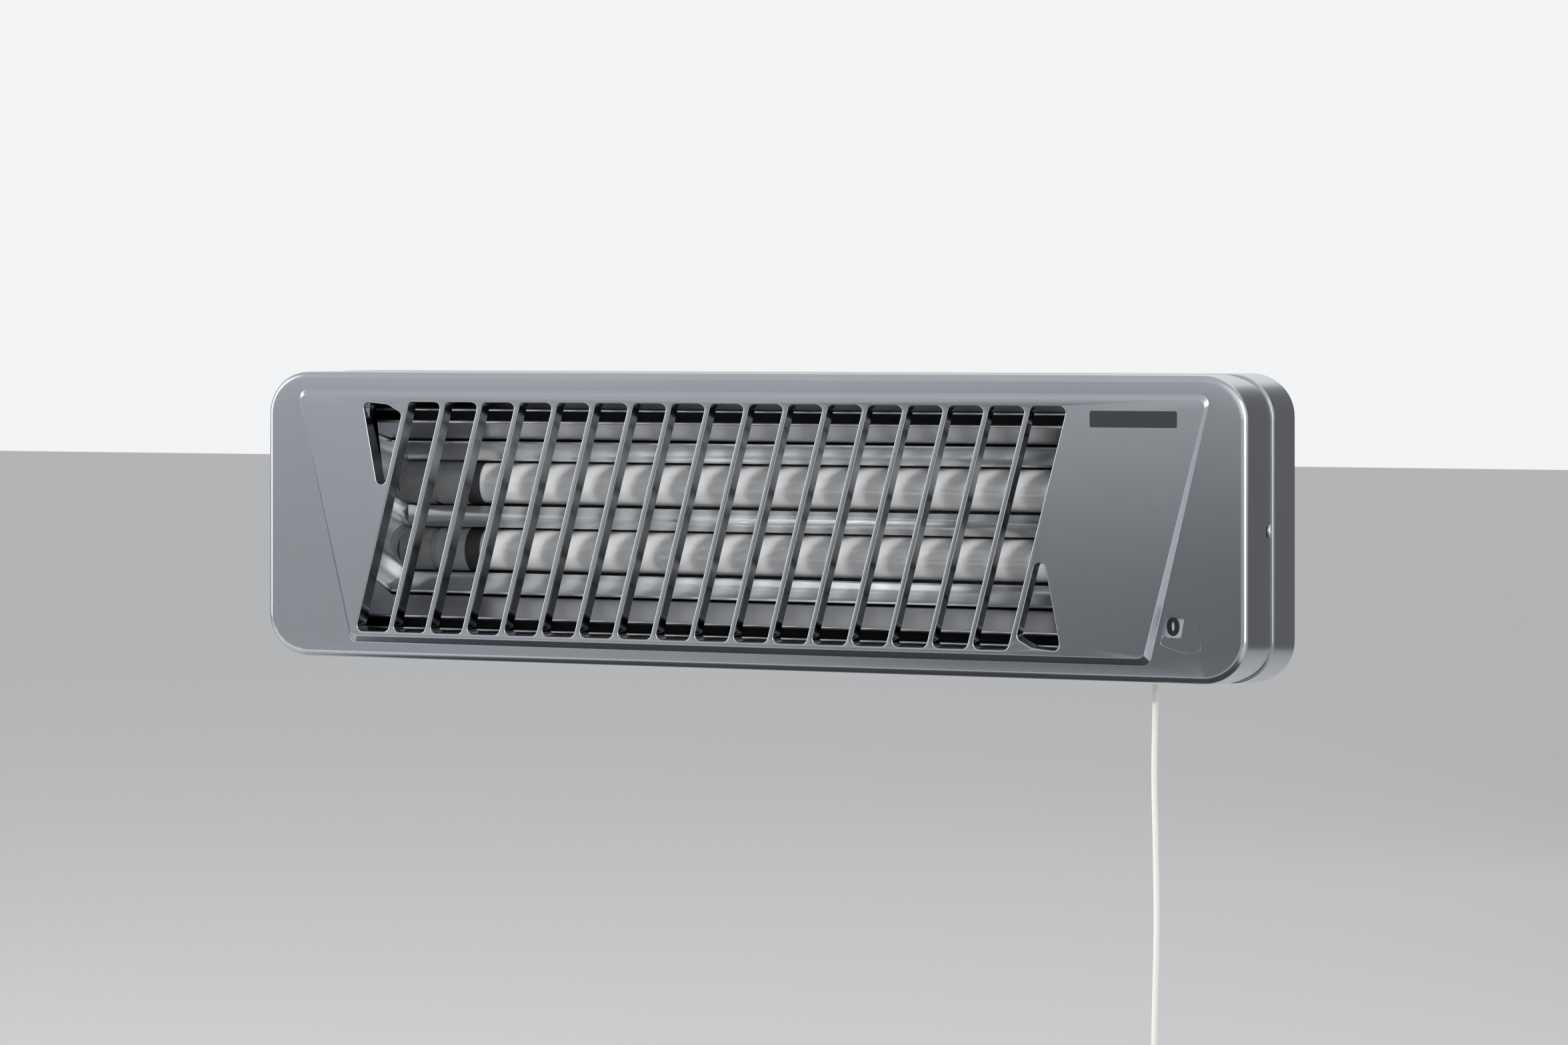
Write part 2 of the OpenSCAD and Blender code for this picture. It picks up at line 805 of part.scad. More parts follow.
module reflector() {
    color("#c3c7cc") on_heater()
        intersection() {
            translate([-tube_shift, 0, axis_z])
                along_x(-tray_left, tray_right)
                    reflector_profile();
            between_ends(0);
        }
}

module reflector_end(side) {
    depth = tray_floor - fit;
    slope = (flange_out - tray_in) / (strip_front - flange_front);
    rise = tray_in - fit + slope * (strip_front - flange_front - 1);
    color("#c3c7cc") on_heater()
        difference() {
            intersection() {
                translate([-tube_shift, 0, axis_z])
                    along_x(side > 0 ? 0 : -tray_left, side > 0 ? tray_right : 0)
                        polygon([[depth, -tray_in + fit], [depth, tray_in - fit],
                            [strip_front, tray_in - fit], [flange_front + 1, rise],
                            [flange_front + 1, -rise], [strip_front, -tray_in + fit]]);
                between_ends(sheet);
            }
            between_ends(0);
            at_tubes()
                rod_x(-tray_left, tray_right, cap_d / 2 + fit, tube_depth, 0);
        }
}

module left_reflector_end() {
    reflector_end(-1);
}

module right_reflector_end() {
    reflector_end(1);
}

module quartz_tube(h) {
    reach = cap_from + cap_seat - face_gap;
    color("#d6d8d8") on_heater()
        translate([-tube_shift, 0, axis_z + h])
            difference() {
                rod_x(-reach, reach, tube_r, tube_depth, 0);
                rod_x(-reach - 1, reach + 1, tube_r - tube_wall, tube_depth, 0);
            }
}

module upper_quartz_tube() {
    quartz_tube(tube_h);
}

module lower_quartz_tube() {
    quartz_tube(-tube_h);
}

module heating_coil(h) {
    reach = cap_from - collar_len;
    lead_end = cap_from + cap_seat - face_gap;
    color("#b07a4a") on_heater()
        translate([-tube_shift, 0, axis_z + h]) {
            difference() {
                rod_x(-reach, reach, coil_r, tube_depth, 0);
                rod_x(-reach + coil_t, reach - coil_t, coil_r - coil_t, tube_depth, 0);
            }
            both_sides()
                rod_x(reach - thin, lead_end, lead_r, tube_depth, 0);
        }
}

module upper_heating_coil() {
    heating_coil(tube_h);
}

module lower_heating_coil() {
    heating_coil(-tube_h);
}

module end_caps(side) {
    color("#8b8e92") on_heater()
        at_tubes()
            mirror([side > 0 ? 0 : 1, 0, 0])
                difference() {
                    rod_x(cap_from, cap_to, cap_d / 2, tube_depth, 0);
                    rod_x(cap_from - 1, cap_from + cap_seat, tube_r + fit, tube_depth, 0);
                    rod_x(cap_from, cap_to + 1, stud_r + fit, tube_depth, 0);
                    difference() {
                        rod_x(groove_at, groove_at + groove_w, cap_d, tube_depth, 0);
                        rod_x(groove_at - 1, groove_at + groove_w + 1, cap_d / 2 - groove_d, tube_depth, 0);
                    }
                }
}

module left_end_caps() {
    end_caps(-1);
}

module right_end_caps() {
    end_caps(1);
}

module tube_collars(side) {
    color("#2b2c2e") on_heater()
        at_tubes()
            mirror([side > 0 ? 0 : 1, 0, 0])
                difference() {
                    rod_x(cap_from - collar_len, cap_from, collar_d / 2, tube_depth, 0);
                    rod_x(cap_from - collar_len - 1, cap_from + 1, tube_r + fit, tube_depth, 0);
                }
}

module left_tube_collars() {
    tube_collars(-1);
}

module right_tube_collars() {
    tube_collars(1);
}

module terminal_studs() {
    color("#9a9da1") on_heater()
        at_tubes() {
            rod_x(cap_from + cap_seat, stud_to, stud_r, tube_depth, 0);
            rod_x(-stud_to, -cap_from - cap_seat, stud_r, tube_depth, 0);
        }
}

module terminal_nuts() {
    color("#b9a36a") on_heater()
        at_tubes()
            difference() {
                union() {
                    rod_x(cap_to, cap_to + nut_t, nut_r, tube_depth, 0, 6);
                    rod_x(-cap_to - strip_t - nut_t, -cap_to - strip_t, nut_r, tube_depth, 0, 6);
                }
                rod_x(-stud_to - 1, stud_to + 1, stud_r + fit, tube_depth, 0);
            }
}

module left_link_strip() {
    outer = -tube_shift - cap_to;
    color("#b9bcc0") on_heater()
        difference() {
            box([outer - strip_t, outer], [tube_depth - strip_w / 2, tube_depth + strip_w / 2],
                [link_low, axis_z + tube_h + strip_w / 2]);
            at_tubes()
                rod_x(-stud_to - 1, -cap_to + 1, stud_r + fit, tube_depth, 0);
        }
}

// ---------------------------------------------------------------- electrical fittings

module thermal_cutout() {
    color("#d9d4c4") on_heater() {
        rod_y(cutout_y[0], cutout_y[1], cutout_r, cutout_x, cutout_z);
        for (side = [-1, 1]) {
            x = cutout_x + side * cutout_tab_x;
            box([x - 0.5, x + 0.5], [cutout_y[1] - 1, cutout_y[1] + 7], tab_z);
        }
    }
}

module terminal_block() {
    color("#e2e0d8") on_heater()
        difference() {
            box(block_x, [back_in - block_t, back_in], block_z);
            for (x = block_screws)
                rod_y(back_in - block_t - 1, back_in - block_floor, block_screw_r + fit, x,
                    block_screw_z);
        }
}

module terminal_screws() {
    color("#b9a36a") on_heater()
        for (x = block_screws) {
            rod_y(back_in - block_t - block_head_t, back_in - block_t, block_head_r, x,
                block_screw_z);
            rod_y(back_in - block_t - thin, back_in - block_floor - seat_gap, block_screw_r, x,
                block_screw_z);
        }
}

module earth_screw() {
    color("#b9a36a") on_heater() {
        rod_y(back_in - earth_head_t, back_in, earth_head_r, earth_at[0], earth_at[1]);
        rod_y(back_in - thin, body_depth + 1, cover_screw_d / 2, earth_at[0], earth_at[1]);
    }
}

module inlet_grommet() {
    neck = inlet_d / 2 + grommet_wall;
    from = back_in - grommet_over;
    to = body_depth + grommet_over;
    color("#26272a") on_heater()
        difference() {
            union() {
                rod_y(from, to, neck, inlet_at[0], inlet_at[1]);
                rod_y(from, back_in, neck + grommet_lip, inlet_at[0], inlet_at[1]);
                rod_y(body_depth, to, neck + grommet_lip, inlet_at[0], inlet_at[1]);
            }
            rod_y(from - 1, to + 1, inlet_d / 2, inlet_at[0], inlet_at[1]);
        }
}

module return_wire() {
    color("#3d6fb0") on_heater()
        swept_tube(return_route, wire_r);
}

module live_wire() {
    color("#8a5a36") on_heater()
        swept_tube(live_route, wire_r);
}

module cutout_wire() {
    color("#8a5a36") on_heater()
        swept_tube(cutout_route, wire_r);
}

module upper_feed_wire() {
    color("#8a5a36") on_heater()
        swept_tube(upper_route, wire_r);
}

module lower_feed_wire() {
    color("#8a5a36") on_heater()
        swept_tube(lower_route, wire_r);
}

// ---------------------------------------------------------------- pull switch

module switch_housing() {
    ear_y = [house_y[0], house_y[0] + switch_ear_t];
    above = ear_points[0];
    beside = ear_points[1];
    color("#33353a") on_heater()
        difference() {
            union() {
                box(house_x, house_y, house_z);
                for (p = ear_points)
                    rod_y(ear_y[0], ear_y[1], switch_ear_r, p[0], p[1]);
                box([above[0] - switch_ear_r, above[0] + switch_ear_r], ear_y,
                    [house_z[1] - 1, above[1]]);
                box([house_x[1] - 1, beside[0]], ear_y,
                    [beside[1] - switch_ear_r, beside[1] + switch_ear_r]);
            }
            box([house_x[0] + house_wall, house_x[1] - house_wall],
                [house_y[0] + house_wall, house_y[1] + 1],
                [house_z[0] + house_wall, house_z[1] - house_wall]);
            rod_y(house_y[0] - 1, house_y[0] + house_wall + 1, shaft_r + fit, dial_x, dial_z);
            rod_z(house_z[0] - 1, house_z[0] + house_wall + 1, rod_r + seat_gap, cord_x, cord_depth);
            for (p = ear_points)
                rod_y(ear_y[0] - 1, ear_y[1] + 1, switch_screw_r + fit, p[0], p[1]);
        }
}

module blade_slot(x, z, grow) {
    box([x - blade_t / 2 - grow, x + blade_t / 2 + grow],
        [house_y[1] - 1, lid_y + 1], [z - blade_w / 2 - grow, z + blade_w / 2 + grow]);
}

module switch_lid() {
    color("#3d3f44") on_heater()
        difference() {
            box(house_x, [house_y[1], lid_y], house_z);
            rod_y(house_y[1] - 1, lid_y + 1, shaft_r + fit, dial_x, dial_z);
            for (z = blade_z)
                blade_slot(blade_x, z, fit);
            blade_slot(common_blade[0], common_blade[1], fit);
        }
}

module switch_screws() {
    head_y = house_y[0] + switch_ear_t;
    color("#8d9094") on_heater()
        for (p = ear_points) {
            rod_y(wall + seat_gap, head_y + thin, switch_screw_r, p[0], p[1]);
            rod_y(head_y, head_y + switch_head_t, switch_head_r, p[0], p[1]);
        }
}

module contact_blades() {
    near_cam = dial_x + cam_r + seat_gap;
    color("#c79a52") on_heater() {
        for (z = blade_z)
            box([blade_x - blade_t / 2, blade_x + blade_t / 2], blade_y,
                [z - blade_w / 2, z + blade_w / 2]);
        box([near_cam, blade_x], [cam_y[0], cam_y[1]], [blade_z[0] - 1, blade_z[0]]);
        box([near_cam, blade_x], [cam_y[0], cam_y[1]], [blade_z[1], blade_z[1] + 1]);
        box([common_blade[0] - blade_t / 2, common_blade[0] + blade_t / 2], blade_y,
            [common_blade[1] - blade_w / 2, common_blade[1] + blade_w / 2]);
    }
}

// Puts its children where the cord leaves the casing, square to the sloping underside
module at_bush() {
    translate([cord_x, cord_depth, bottom_at])
        rotate([-bottom_slope, 0, 0])
            children();
}

module cord_bush() {
    color("#2b2c2e") on_heater()
        at_bush()
            difference() {
                union() {
                    rod_z(-0.2, wall + 1.5, bush_r, 0, 0);
                    rod_z(wall + fit, wall + 1.5, bush_rim_r, 0, 0);
                }
                rod_z(-2, wall + 3, bush_bore_r, 0, 0);
            }
}

module return_spring() {
    color("#9a9da1") on_heater()
        difference() {
            rod_z(house_z[0] + house_wall, slider_z[0] - fit, spring_out, cord_x, cord_depth);
            rod_z(house_z[0], slider_z[0] + 1, spring_in, cord_x, cord_depth);
        }
}

module pull_slider() {
    cup_top = bead_z + cup_h;
    // The pawl ends just over the wheel's rim when the cord is fully pulled
    rim = wheel_r + seat_gap;
    pawl_low = dial_z + sqrt(rim * rim - (rim - pawl_t) * (rim - pawl_t)) + pull_travel + face_gap;
    color("#e4e2da") on_heater()
        difference() {
            union() {
                box(slider_x, slider_y, slider_z);
                rod_z(slider_z[0], slider_z[0] + 1.5, spring_out, cord_x, cord_depth);
                rod_z(cup_top - 1, slider_z[0] + thin, rod_r, cord_x, cord_depth);
                rod_z(bead_z, cup_top, cup_r, cord_x, cord_depth);
                box([slider_x[1] - thin, slider_x[1] + pawl_t], wheel_y,
                    [pawl_low, slider_z[1]]);
            }
            rod_z(bead_z - 1, bead_z + bead_r + seat_gap, cup_bore_r, cord_x, cord_depth);
        }
}

module dial_shaft() {
    color("#9a9da1") on_heater()
        rod_y(disc_y[0], lid_y - seat_gap, shaft_r, dial_x, dial_z);
}

module indicator_disc() {
    color("#d4d7da") on_heater()
        difference() {
            rod_y(disc_y[0], disc_y[1], dial_r, dial_x, dial_z, 96);
            rod_y(disc_y[0] - 1, disc_y[1] + 1, shaft_r + fit, dial_x, dial_z);
        }
}

module ratchet_wheel() {
    step = 360 / wheel_teeth;
    color("#d8b56a") on_heater()
        difference() {
            translate([dial_x, 0, dial_z])
                plate(wheel_y[0], wheel_y[1])
                    polygon([for (k = [0:wheel_teeth - 1]) each [
                        wheel_r * [cos(k * step), sin(k * step)],
                        wheel_root * [cos(k * step + 4), sin(k * step + 4)]]]);
            rod_y(wheel_y[0] - 1, wheel_y[1] + 1, shaft_r + fit, dial_x, dial_z);
        }
}

module switch_cam() {
    color("#d8d6cc") on_heater()
        difference() {
            intersection() {
                rod_y(cam_y[0], cam_y[1], cam_r, dial_x, dial_z);
                box([dial_x - cam_r, dial_x + cam_r], cam_y,
                    [dial_z - cam_r + cam_lobe, dial_z + cam_r - cam_lobe]);
            }
            rod_y(cam_y[0] - 1, cam_y[1] + 1, shaft_r + fit, dial_x, dial_z);
        }
}

module pull_cord() {
    color("#e9e6dc") on_heater()
        swept_tube([for (p = cord_route) [cord_x + p[0], cord_depth, bead_z - p[1]]], cord_r);
}

module cord_bead(r, drop) {
    translate([cord_x, cord_depth, bead_z - drop])
        difference() {
            sphere(r);
            cylinder(h = 3 * r, r = cord_r + fit, center = true);
        }
}

module cord_beads() {
    color("#e9e6dc") on_heater() {
        cord_bead(bead_r, 0);
        cord_bead(end_bead_r, cord_end[1] - 1);
    }
}

module pull_knob() {
    top = knob_over;
    low = knob_over - knob_len;
    shelf = end_bead_r + 1.4;
    pocket = end_bead_r + 0.6;
    color("#f1efe8") on_heater()
        translate([cord_x, cord_depth, bead_z - cord_end[1]])
            rotate_extrude()
                polygon(concat(
                    [[cord_r + fit, top], [knob_neck_r - 0.6, top], [knob_neck_r, top - 0.8],
                        [knob_neck_r + 0.5, top - 8]],
                    arc(knob_neck_r + 7.6, top - 8 - 2.4, 7.5, 160, 200, 4),
                    [[knob_r - 1.2, low + 6], [knob_r, low + 2.5], [knob_r - 0.4, low + 0.4],
                        [knob_r - 1, low], [knob_cavity_r, low], [pocket, low + 12],
                        [pocket, shelf], [cord_r + fit, shelf]]));
}

wall_bracket();
pivot_pins();
pivot_washers();
pivot_nuts();
hinge_yoke();
yoke_screws();
rear_shell();
front_cover();
cover_screws();
blank_badge();
indicator_window();
reflector_tray();
tray_screws();
reflector();
left_reflector_end();
right_reflector_end();
upper_quartz_tube();
lower_quartz_tube();
upper_heating_coil();
lower_heating_coil();
left_end_caps();
right_end_caps();
left_tube_collars();
right_tube_collars();
terminal_studs();
terminal_nuts();
left_link_strip();
thermal_cutout();
terminal_block();
terminal_screws();
earth_screw();
inlet_grommet();
return_wire();
live_wire();
cutout_wire();
upper_feed_wire();
lower_feed_wire();
switch_housing();
switch_lid();
switch_screws();
contact_blades();
cord_bush();
return_spring();
pull_slider();
dial_shaft();
indicator_disc();
ratchet_wheel();
switch_cam();
pull_cord();
cord_beads();
pull_knob();
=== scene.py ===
import math

import bmesh
import bpy
from mathutils import Euler, Matrix, Vector


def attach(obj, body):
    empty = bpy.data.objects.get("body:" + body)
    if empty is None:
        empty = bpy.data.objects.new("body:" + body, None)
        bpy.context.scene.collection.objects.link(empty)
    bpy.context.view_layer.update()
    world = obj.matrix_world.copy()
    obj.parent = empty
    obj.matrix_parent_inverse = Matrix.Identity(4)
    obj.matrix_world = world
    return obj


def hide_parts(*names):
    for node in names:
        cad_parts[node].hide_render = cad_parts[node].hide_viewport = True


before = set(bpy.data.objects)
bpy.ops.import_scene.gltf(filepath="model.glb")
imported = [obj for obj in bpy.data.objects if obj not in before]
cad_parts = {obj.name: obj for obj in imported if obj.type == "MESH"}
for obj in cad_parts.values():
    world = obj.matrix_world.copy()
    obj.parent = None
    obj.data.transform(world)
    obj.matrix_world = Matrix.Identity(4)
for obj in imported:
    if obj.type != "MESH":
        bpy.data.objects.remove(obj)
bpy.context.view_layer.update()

# ------------------------------------------------------------------ sizes, in millimetres
# x runs to the viewer's right, z up, and depth is measured from the front frame back to the wall.
FRAME_TO_WALL = 103
CASING_W = 449
CASING_H = 133
BODY_DEPTH = 85
SIDE_FLARE = 4
BOTTOM_DROP = 7
CORNER_R = 18.5
HALF_H = (CASING_H - BOTTOM_DROP) / 2
SHEET_WALL = 2
SKIRT_DEPTH = 33
SHELL_FRONT = 33.4
CHANNEL_END = 47
CHANNEL_CUT = 0.8
BACK_INNER = BODY_DEPTH - SHEET_WALL
EDGE_R = 2.9
BACK_EDGE_R = 1.6
SEAM = 0.05

PANEL_TOP_W = 410
PANEL_LOW_W = 358
PANEL_H = 108.5
RISE_TOP = 1.9
RISE_LOW = 3
PANEL_MID_RISE = (RISE_TOP + RISE_LOW) / 2
PANEL_SLOPE = (RISE_LOW - RISE_TOP) / PANEL_H
# The step from the panel's face down to the frame
FACE_INSET_LOW = 1.1
FACE_INSET_TOP = 0.75
FACE_INSET_H = 1.2
STEP_RUN_LOW = 2.2
STEP_RUN_TOP = 1.5
FACE_R = 3
BASE_R = 3.6
STEP_PROFILE = ((0, 0), (0.08, 0.03), (0.14, 0.09), (0.94, 0.94), (1, 0.985), (1.08, 1))

BAR_COUNT = 18
BAR_PITCH = 17.6
BAR_W = 2.4
BAR_DEPTH = 7
BAR_LEAN = 0.25
GRILLE_SHIFT = 15
SLOT_TOP = 49.9
SLOT_LOW = -51.1
SLOT_R = 2.5
SLOT_EDGE = 0.55
RIM = 0.4
RIM_SPREAD = 0.0012
RIM_MIDDLE = 9.3
BLOCK_RIM = 2
BLOCK_R = 3
END_APEX_Z = 4.5
FIRST_BAR = -GRILLE_SHIFT - (BAR_COUNT - 1) / 2 * BAR_PITCH
LAST_BAR = FIRST_BAR + (BAR_COUNT - 1) * BAR_PITCH

TUBE_R = 9.25
TUBE_WALL = 1.5
TUBE_H = 15
TUBE_DEPTH = 50
TUBE_SHIFT = 4.5
AXIS_Z = -2.4
TROUGH_R = TUBE_R + 2.15
TROUGH_OPEN = 5
TROUGH_STEPS = 56
STRIP_RUN = 8
STRIP_FRONT = TUBE_DEPTH - TROUGH_OPEN - STRIP_RUN
FLANGE_FRONT = 18
FLANGE_OUT = 42.845
GUTTER_OUT = FLANGE_OUT + 6.4
REFLECTOR_HALF = 165.5
END_LEANS = {-1: math.radians(30), 1: math.radians(12)}
END_SPARE = 20
SHEET = 1
CAP_FROM = REFLECTOR_HALF - 27
CAP_TO = REFLECTOR_HALF + 6
CAP_SEAT = 12
GROOVE_AT = CAP_FROM + 14.5
GROOVE_W = 2.4
GROOVE_D = 0.9
CAP_R = 10.05
STUD_BORE_R = 2.05
TUBE_FIT = 0.05
COLLAR_LEN = 7
COLLAR_R = 9.85

CORD_X = 177.3
CORD_DEPTH = 24
CORD_R = 1.25
BEAD_Z = -HALF_H - BOTTOM_DROP * CORD_DEPTH / BODY_DEPTH + 0.4
CORD_DROP = 228
# Sideways drift and drop below the bush
CORD_ROUTE = [(0, 0), (0, 4), (-0.1, 10), (-0.3, 18), (-0.5, 28), (-0.6, 38), (-0.5, 48),
              (-0.2, 58), (0, 68), (0.2, 80), (0.4, 92), (0.4, 104), (0.2, 116), (-0.1, 128),
              (-0.4, 140), (-0.6, 152), (-0.5, 164), (-0.3, 176), (-0.1, 190), (0, 204), (0, 218),
              (0, 228)]
KNOB_TOP = 11
KNOB_LENGTH = 32
KNOB_BORE = 1.3
KNOB_HOLLOW = 3.0

DIAL_X = 189.6
DIAL_Z = -24
DISC_FRONT = 2.4
NUMERAL_R = 16.3
NUMERAL_COUNT = 9
NUMERAL_SIZE = 9.4
NUMERAL_BOLD = 0.6
NUMERAL_RISE = 0.03
WINDOW = [(185.4, -44.4), (193.2, -44.4), (194.6, -36.2), (187, -36.2)]
DISH = [(184.6, -47.2), (189, -49), (196, -50.6), (201.4, -49.4), (201.2, -46), (199.6, -41),
        (197.4, -35.6), (187.6, -35.2)]
DISH_CUT = 0.5
DISH_R = 1.2
WINDOW_R = 0.5
WINDOW_EDGE = 0.15
BADGE_X = (155.4, 192.2)
BADGE_Z = (41.4, 48.4)
BADGE_GAP = 0.05
BADGE_R = 0.8
VENT_Z = (12, 5)
VENT_SIZE = (24, 3.5)
VENT_COUNT = 9
VENT_PITCH = 34
VENT_R = 1.6
INLET = (134, -52)
INLET_R = 6.45
SCREW_DEPTH = 39.5
SCREW_Z = -2.3

# The camera was solved from the photograph's 2352 x 1568 frame
PHOTO_W = 2352
FOCAL_PX = 5365
HORIZON_PX = 497
CENTRE_PX = 784
CAMERA_AT = (0.509, -1.538, 0.081)
CAMERA_TURN = math.radians(18.74)


def at(x, depth, z):
    """A point of the model from its place in millimetres behind the front frame."""
    return Vector((x, depth - FRAME_TO_WALL, z)) * 0.001


# ------------------------------------------------------------------ camera
camera = bpy.data.objects.new("camera", bpy.data.cameras.new("camera"))
bpy.context.collection.objects.link(camera)
camera.location = CAMERA_AT
camera.rotation_euler = Euler((math.radians(90), 0, CAMERA_TURN))
camera.data.sensor_width = 36
camera.data.lens = 36 * FOCAL_PX / PHOTO_W
camera.data.shift_y = -(CENTRE_PX - HORIZON_PX) / PHOTO_W
camera.data.clip_end = 50
bpy.context.scene.camera = camera
bpy.context.scene.view_settings.view_transform = "Standard"


# ------------------------------------------------------------------ materials
# Painted shade in the slots: its depth, reach either way, half height and half width
SLOT_SHADE_DEPTH = 0.0043
SLOT_SHADE_REACH = 0.0056
SLOT_SHADE_HALF_H = 0.0505
SLOT_SHADE_HALF_W = 0.142
SLOT_SHADE_FADE = {"From Min": 0.045, "From Max": -0.03, "To Min": 0.15, "To Max": 0.9}
TRAY_METAL = (0.62, 0.63, 0.65)
TRAY_SHADE = (0.012, 0.012, 0.013)
SHADE_START = 0.3
GUTTER_START = 0.6


def material(name, color, rough, metal=0.0, **inputs):
    mat = bpy.data.materials.new(name)
    mat.use_nodes = True
    shader = mat.node_tree.nodes["Principled BSDF"]
    shader.inputs["Base Color"].default_value = (*color, 1)
    shader.inputs["Roughness"].default_value = rough
    shader.inputs["Metallic"].default_value = metal
    for key, value in inputs.items():
        shader.inputs[key.replace("_", " ")].default_value = value
    return mat


def node(mat, kind, **settings):
    made = mat.node_tree.nodes.new(kind)
    for key, value in settings.items():
        if key in made.inputs:
            made.inputs[key].default_value = value
        else:
            setattr(made, key, value)
    return made


def link(mat, source, target):
    mat.node_tree.links.new(source, target)


def object_coords(mat, stretch=(1, 1, 1)):
    coords = node(mat, "ShaderNodeTexCoord")
    mapping = node(mat, "ShaderNodeMapping", Scale=stretch)
    link(mat, coords.outputs["Object"], mapping.inputs["Vector"])
    return mapping.outputs["Vector"]


def noise(mat, vector, scale, detail=2.0):
    made = node(mat, "ShaderNodeTexNoise", Scale=scale, Detail=detail)
    link(mat, vector, made.inputs["Vector"])
    return made.outputs["Fac"]


def spread(mat, value, low, high):
    made = node(mat, "ShaderNodeMapRange")
    made.inputs["To Min"].default_value = low
    made.inputs["To Max"].default_value = high
    link(mat, value, made.inputs["Value"])
    return made.outputs["Result"]


def vary_roughness(mat, value, low, high):
    shader = mat.node_tree.nodes["Principled BSDF"]
    link(mat, spread(mat, value, low, high), shader.inputs["Roughness"])


def vary_color(mat, value, dark, light):
    shader = mat.node_tree.nodes["Principled BSDF"]
    ramp = node(mat, "ShaderNodeValToRGB")
    ramp.color_ramp.elements[0].position = 0.15
    ramp.color_ramp.elements[1].position = 0.85
    ramp.color_ramp.interpolation = "EASE"
    ramp.color_ramp.elements[0].color = (*dark, 1)
    ramp.color_ramp.elements[1].color = (*light, 1)
    link(mat, value, ramp.inputs["Fac"])
    link(mat, ramp.outputs["Color"], shader.inputs["Base Color"])
    return ramp.outputs["Color"]


def bump(mat, value, distance, strength=1.0):
    shader = mat.node_tree.nodes["Principled BSDF"]
    made = node(mat, "ShaderNodeBump", Strength=strength, Distance=distance)
    link(mat, value, made.inputs["Height"])
    link(mat, made.outputs["Normal"], shader.inputs["Normal"])


def math_node(mat, operation, *values):
    made = node(mat, "ShaderNodeMath", operation=operation)
    for socket, value in zip(made.inputs, values):
        if isinstance(value, (int, float)):
            socket.default_value = value
        else:
            link(mat, value, socket)
    return made.outputs[0]


def split_place(mat):
    """The x, depth and z of a shaded point, in metres."""
    coords = node(mat, "ShaderNodeTexCoord")
    split = node(mat, "ShaderNodeSeparateXYZ")
    link(mat, coords.outputs["Object"], split.inputs[0])
    depth = math_node(mat, "ADD", split.outputs["Y"], FRAME_TO_WALL * 0.001)
    return split.outputs["X"], depth, split.outputs["Z"]


def paint_shade(mat, amount, color, dark):
    """Paints shade into the base colour, a plain one or a socket, by an amount."""
    mixed = node(mat, "ShaderNodeMix", data_type="RGBA")
    link(mat, amount, mixed.inputs["Factor"])
    if isinstance(color, tuple):
        mixed.inputs["A"].default_value = (*color, 1)
    else:
        link(mat, color, mixed.inputs["A"])
    mixed.inputs["B"].default_value = (*dark, 1)
    shader = mat.node_tree.nodes["Principled BSDF"]
    link(mat, mixed.outputs["Result"], shader.inputs["Base Color"])


def satin_casing():
    mat = material("satin_casing", (0.4, 0.42, 0.45), 0.21, 1.0)
    place = object_coords(mat)
    paint = vary_color(mat, noise(mat, place, 14), (0.388, 0.41, 0.44), (0.408, 0.43, 0.458))
    # Painted shade on the walls inside the slots, darkest at their lower ends
    x, depth, z = split_place(mat)
    in_depth = math_node(mat, "COMPARE", depth, SLOT_SHADE_DEPTH, SLOT_SHADE_REACH)
    in_height = math_node(mat, "LESS_THAN", math_node(mat, "ABSOLUTE", z), SLOT_SHADE_HALF_H)
    upright = math_node(mat, "MULTIPLY_ADD", z, -BAR_LEAN, x)
    across = math_node(mat, "ABSOLUTE", math_node(mat, "ADD", upright, GRILLE_SHIFT * 0.001))
    in_width = math_node(mat, "LESS_THAN", across, SLOT_SHADE_HALF_W)
    inside = math_node(mat, "MULTIPLY", math_node(mat, "MULTIPLY", in_depth, in_height), in_width)
    low_end = node(mat, "ShaderNodeMapRange", interpolation_type="SMOOTHSTEP")
    for socket, value in SLOT_SHADE_FADE.items():
        low_end.inputs[socket].default_value = value
    link(mat, z, low_end.inputs["Value"])
    paint_shade(mat, math_node(mat, "MULTIPLY", inside, low_end.outputs["Result"]), paint,
          (0.01, 0.01, 0.011))
    vary_roughness(mat, noise(mat, place, 700, 2), 0.19, 0.23)
    bump(mat, noise(mat, place, 900, 2), 0.00001, 0.3)
    return mat


def tray_sheet():
    """Satin sheet, with near-black painted shade in the gutters and behind the reflector."""
    mat = material("tray_sheet", TRAY_METAL, 0.34, 1.0)
    grain = noise(mat, object_coords(mat, (4, 300, 300)), 6, 3)
    vary_roughness(mat, grain, 0.28, 0.4)
    bump(mat, grain, 0.00002, 0.25)
    depth, z = split_place(mat)[1:]
    height = math_node(mat, "ABSOLUTE", math_node(mat, "SUBTRACT", z, AXIS_Z * 0.001))
    behind = math_node(mat, "GREATER_THAN", depth, (STRIP_FRONT + SHADE_START) * 0.001)
    deep = math_node(mat, "GREATER_THAN", depth, (FLANGE_FRONT + GUTTER_START) * 0.001)
    past_lip = math_node(mat, "GREATER_THAN", height, (FLANGE_OUT + SHEET * 0.6) * 0.001)
    within = math_node(mat, "LESS_THAN", height, (GUTTER_OUT - SHEET * 0.6) * 0.001)
    gutter = math_node(mat, "MULTIPLY", deep, math_node(mat, "MULTIPLY", past_lip, within))
    # Near-black painted shade in the gutter channels and on the sheet behind the reflector strips
    paint_shade(mat, math_node(mat, "MAXIMUM", behind, gutter), TRAY_METAL, TRAY_SHADE)
    return mat


def polished_sheet(name, metal, low, high):
    mat = material(name, (0.9, 0.92, 0.94), (low + high) / 2, metal)
    place = object_coords(mat)
    vary_roughness(mat, noise(mat, place, 40, 3), low, high)
    bump(mat, noise(mat, place, 22, 1), 0.0004, 0.08)
    return mat


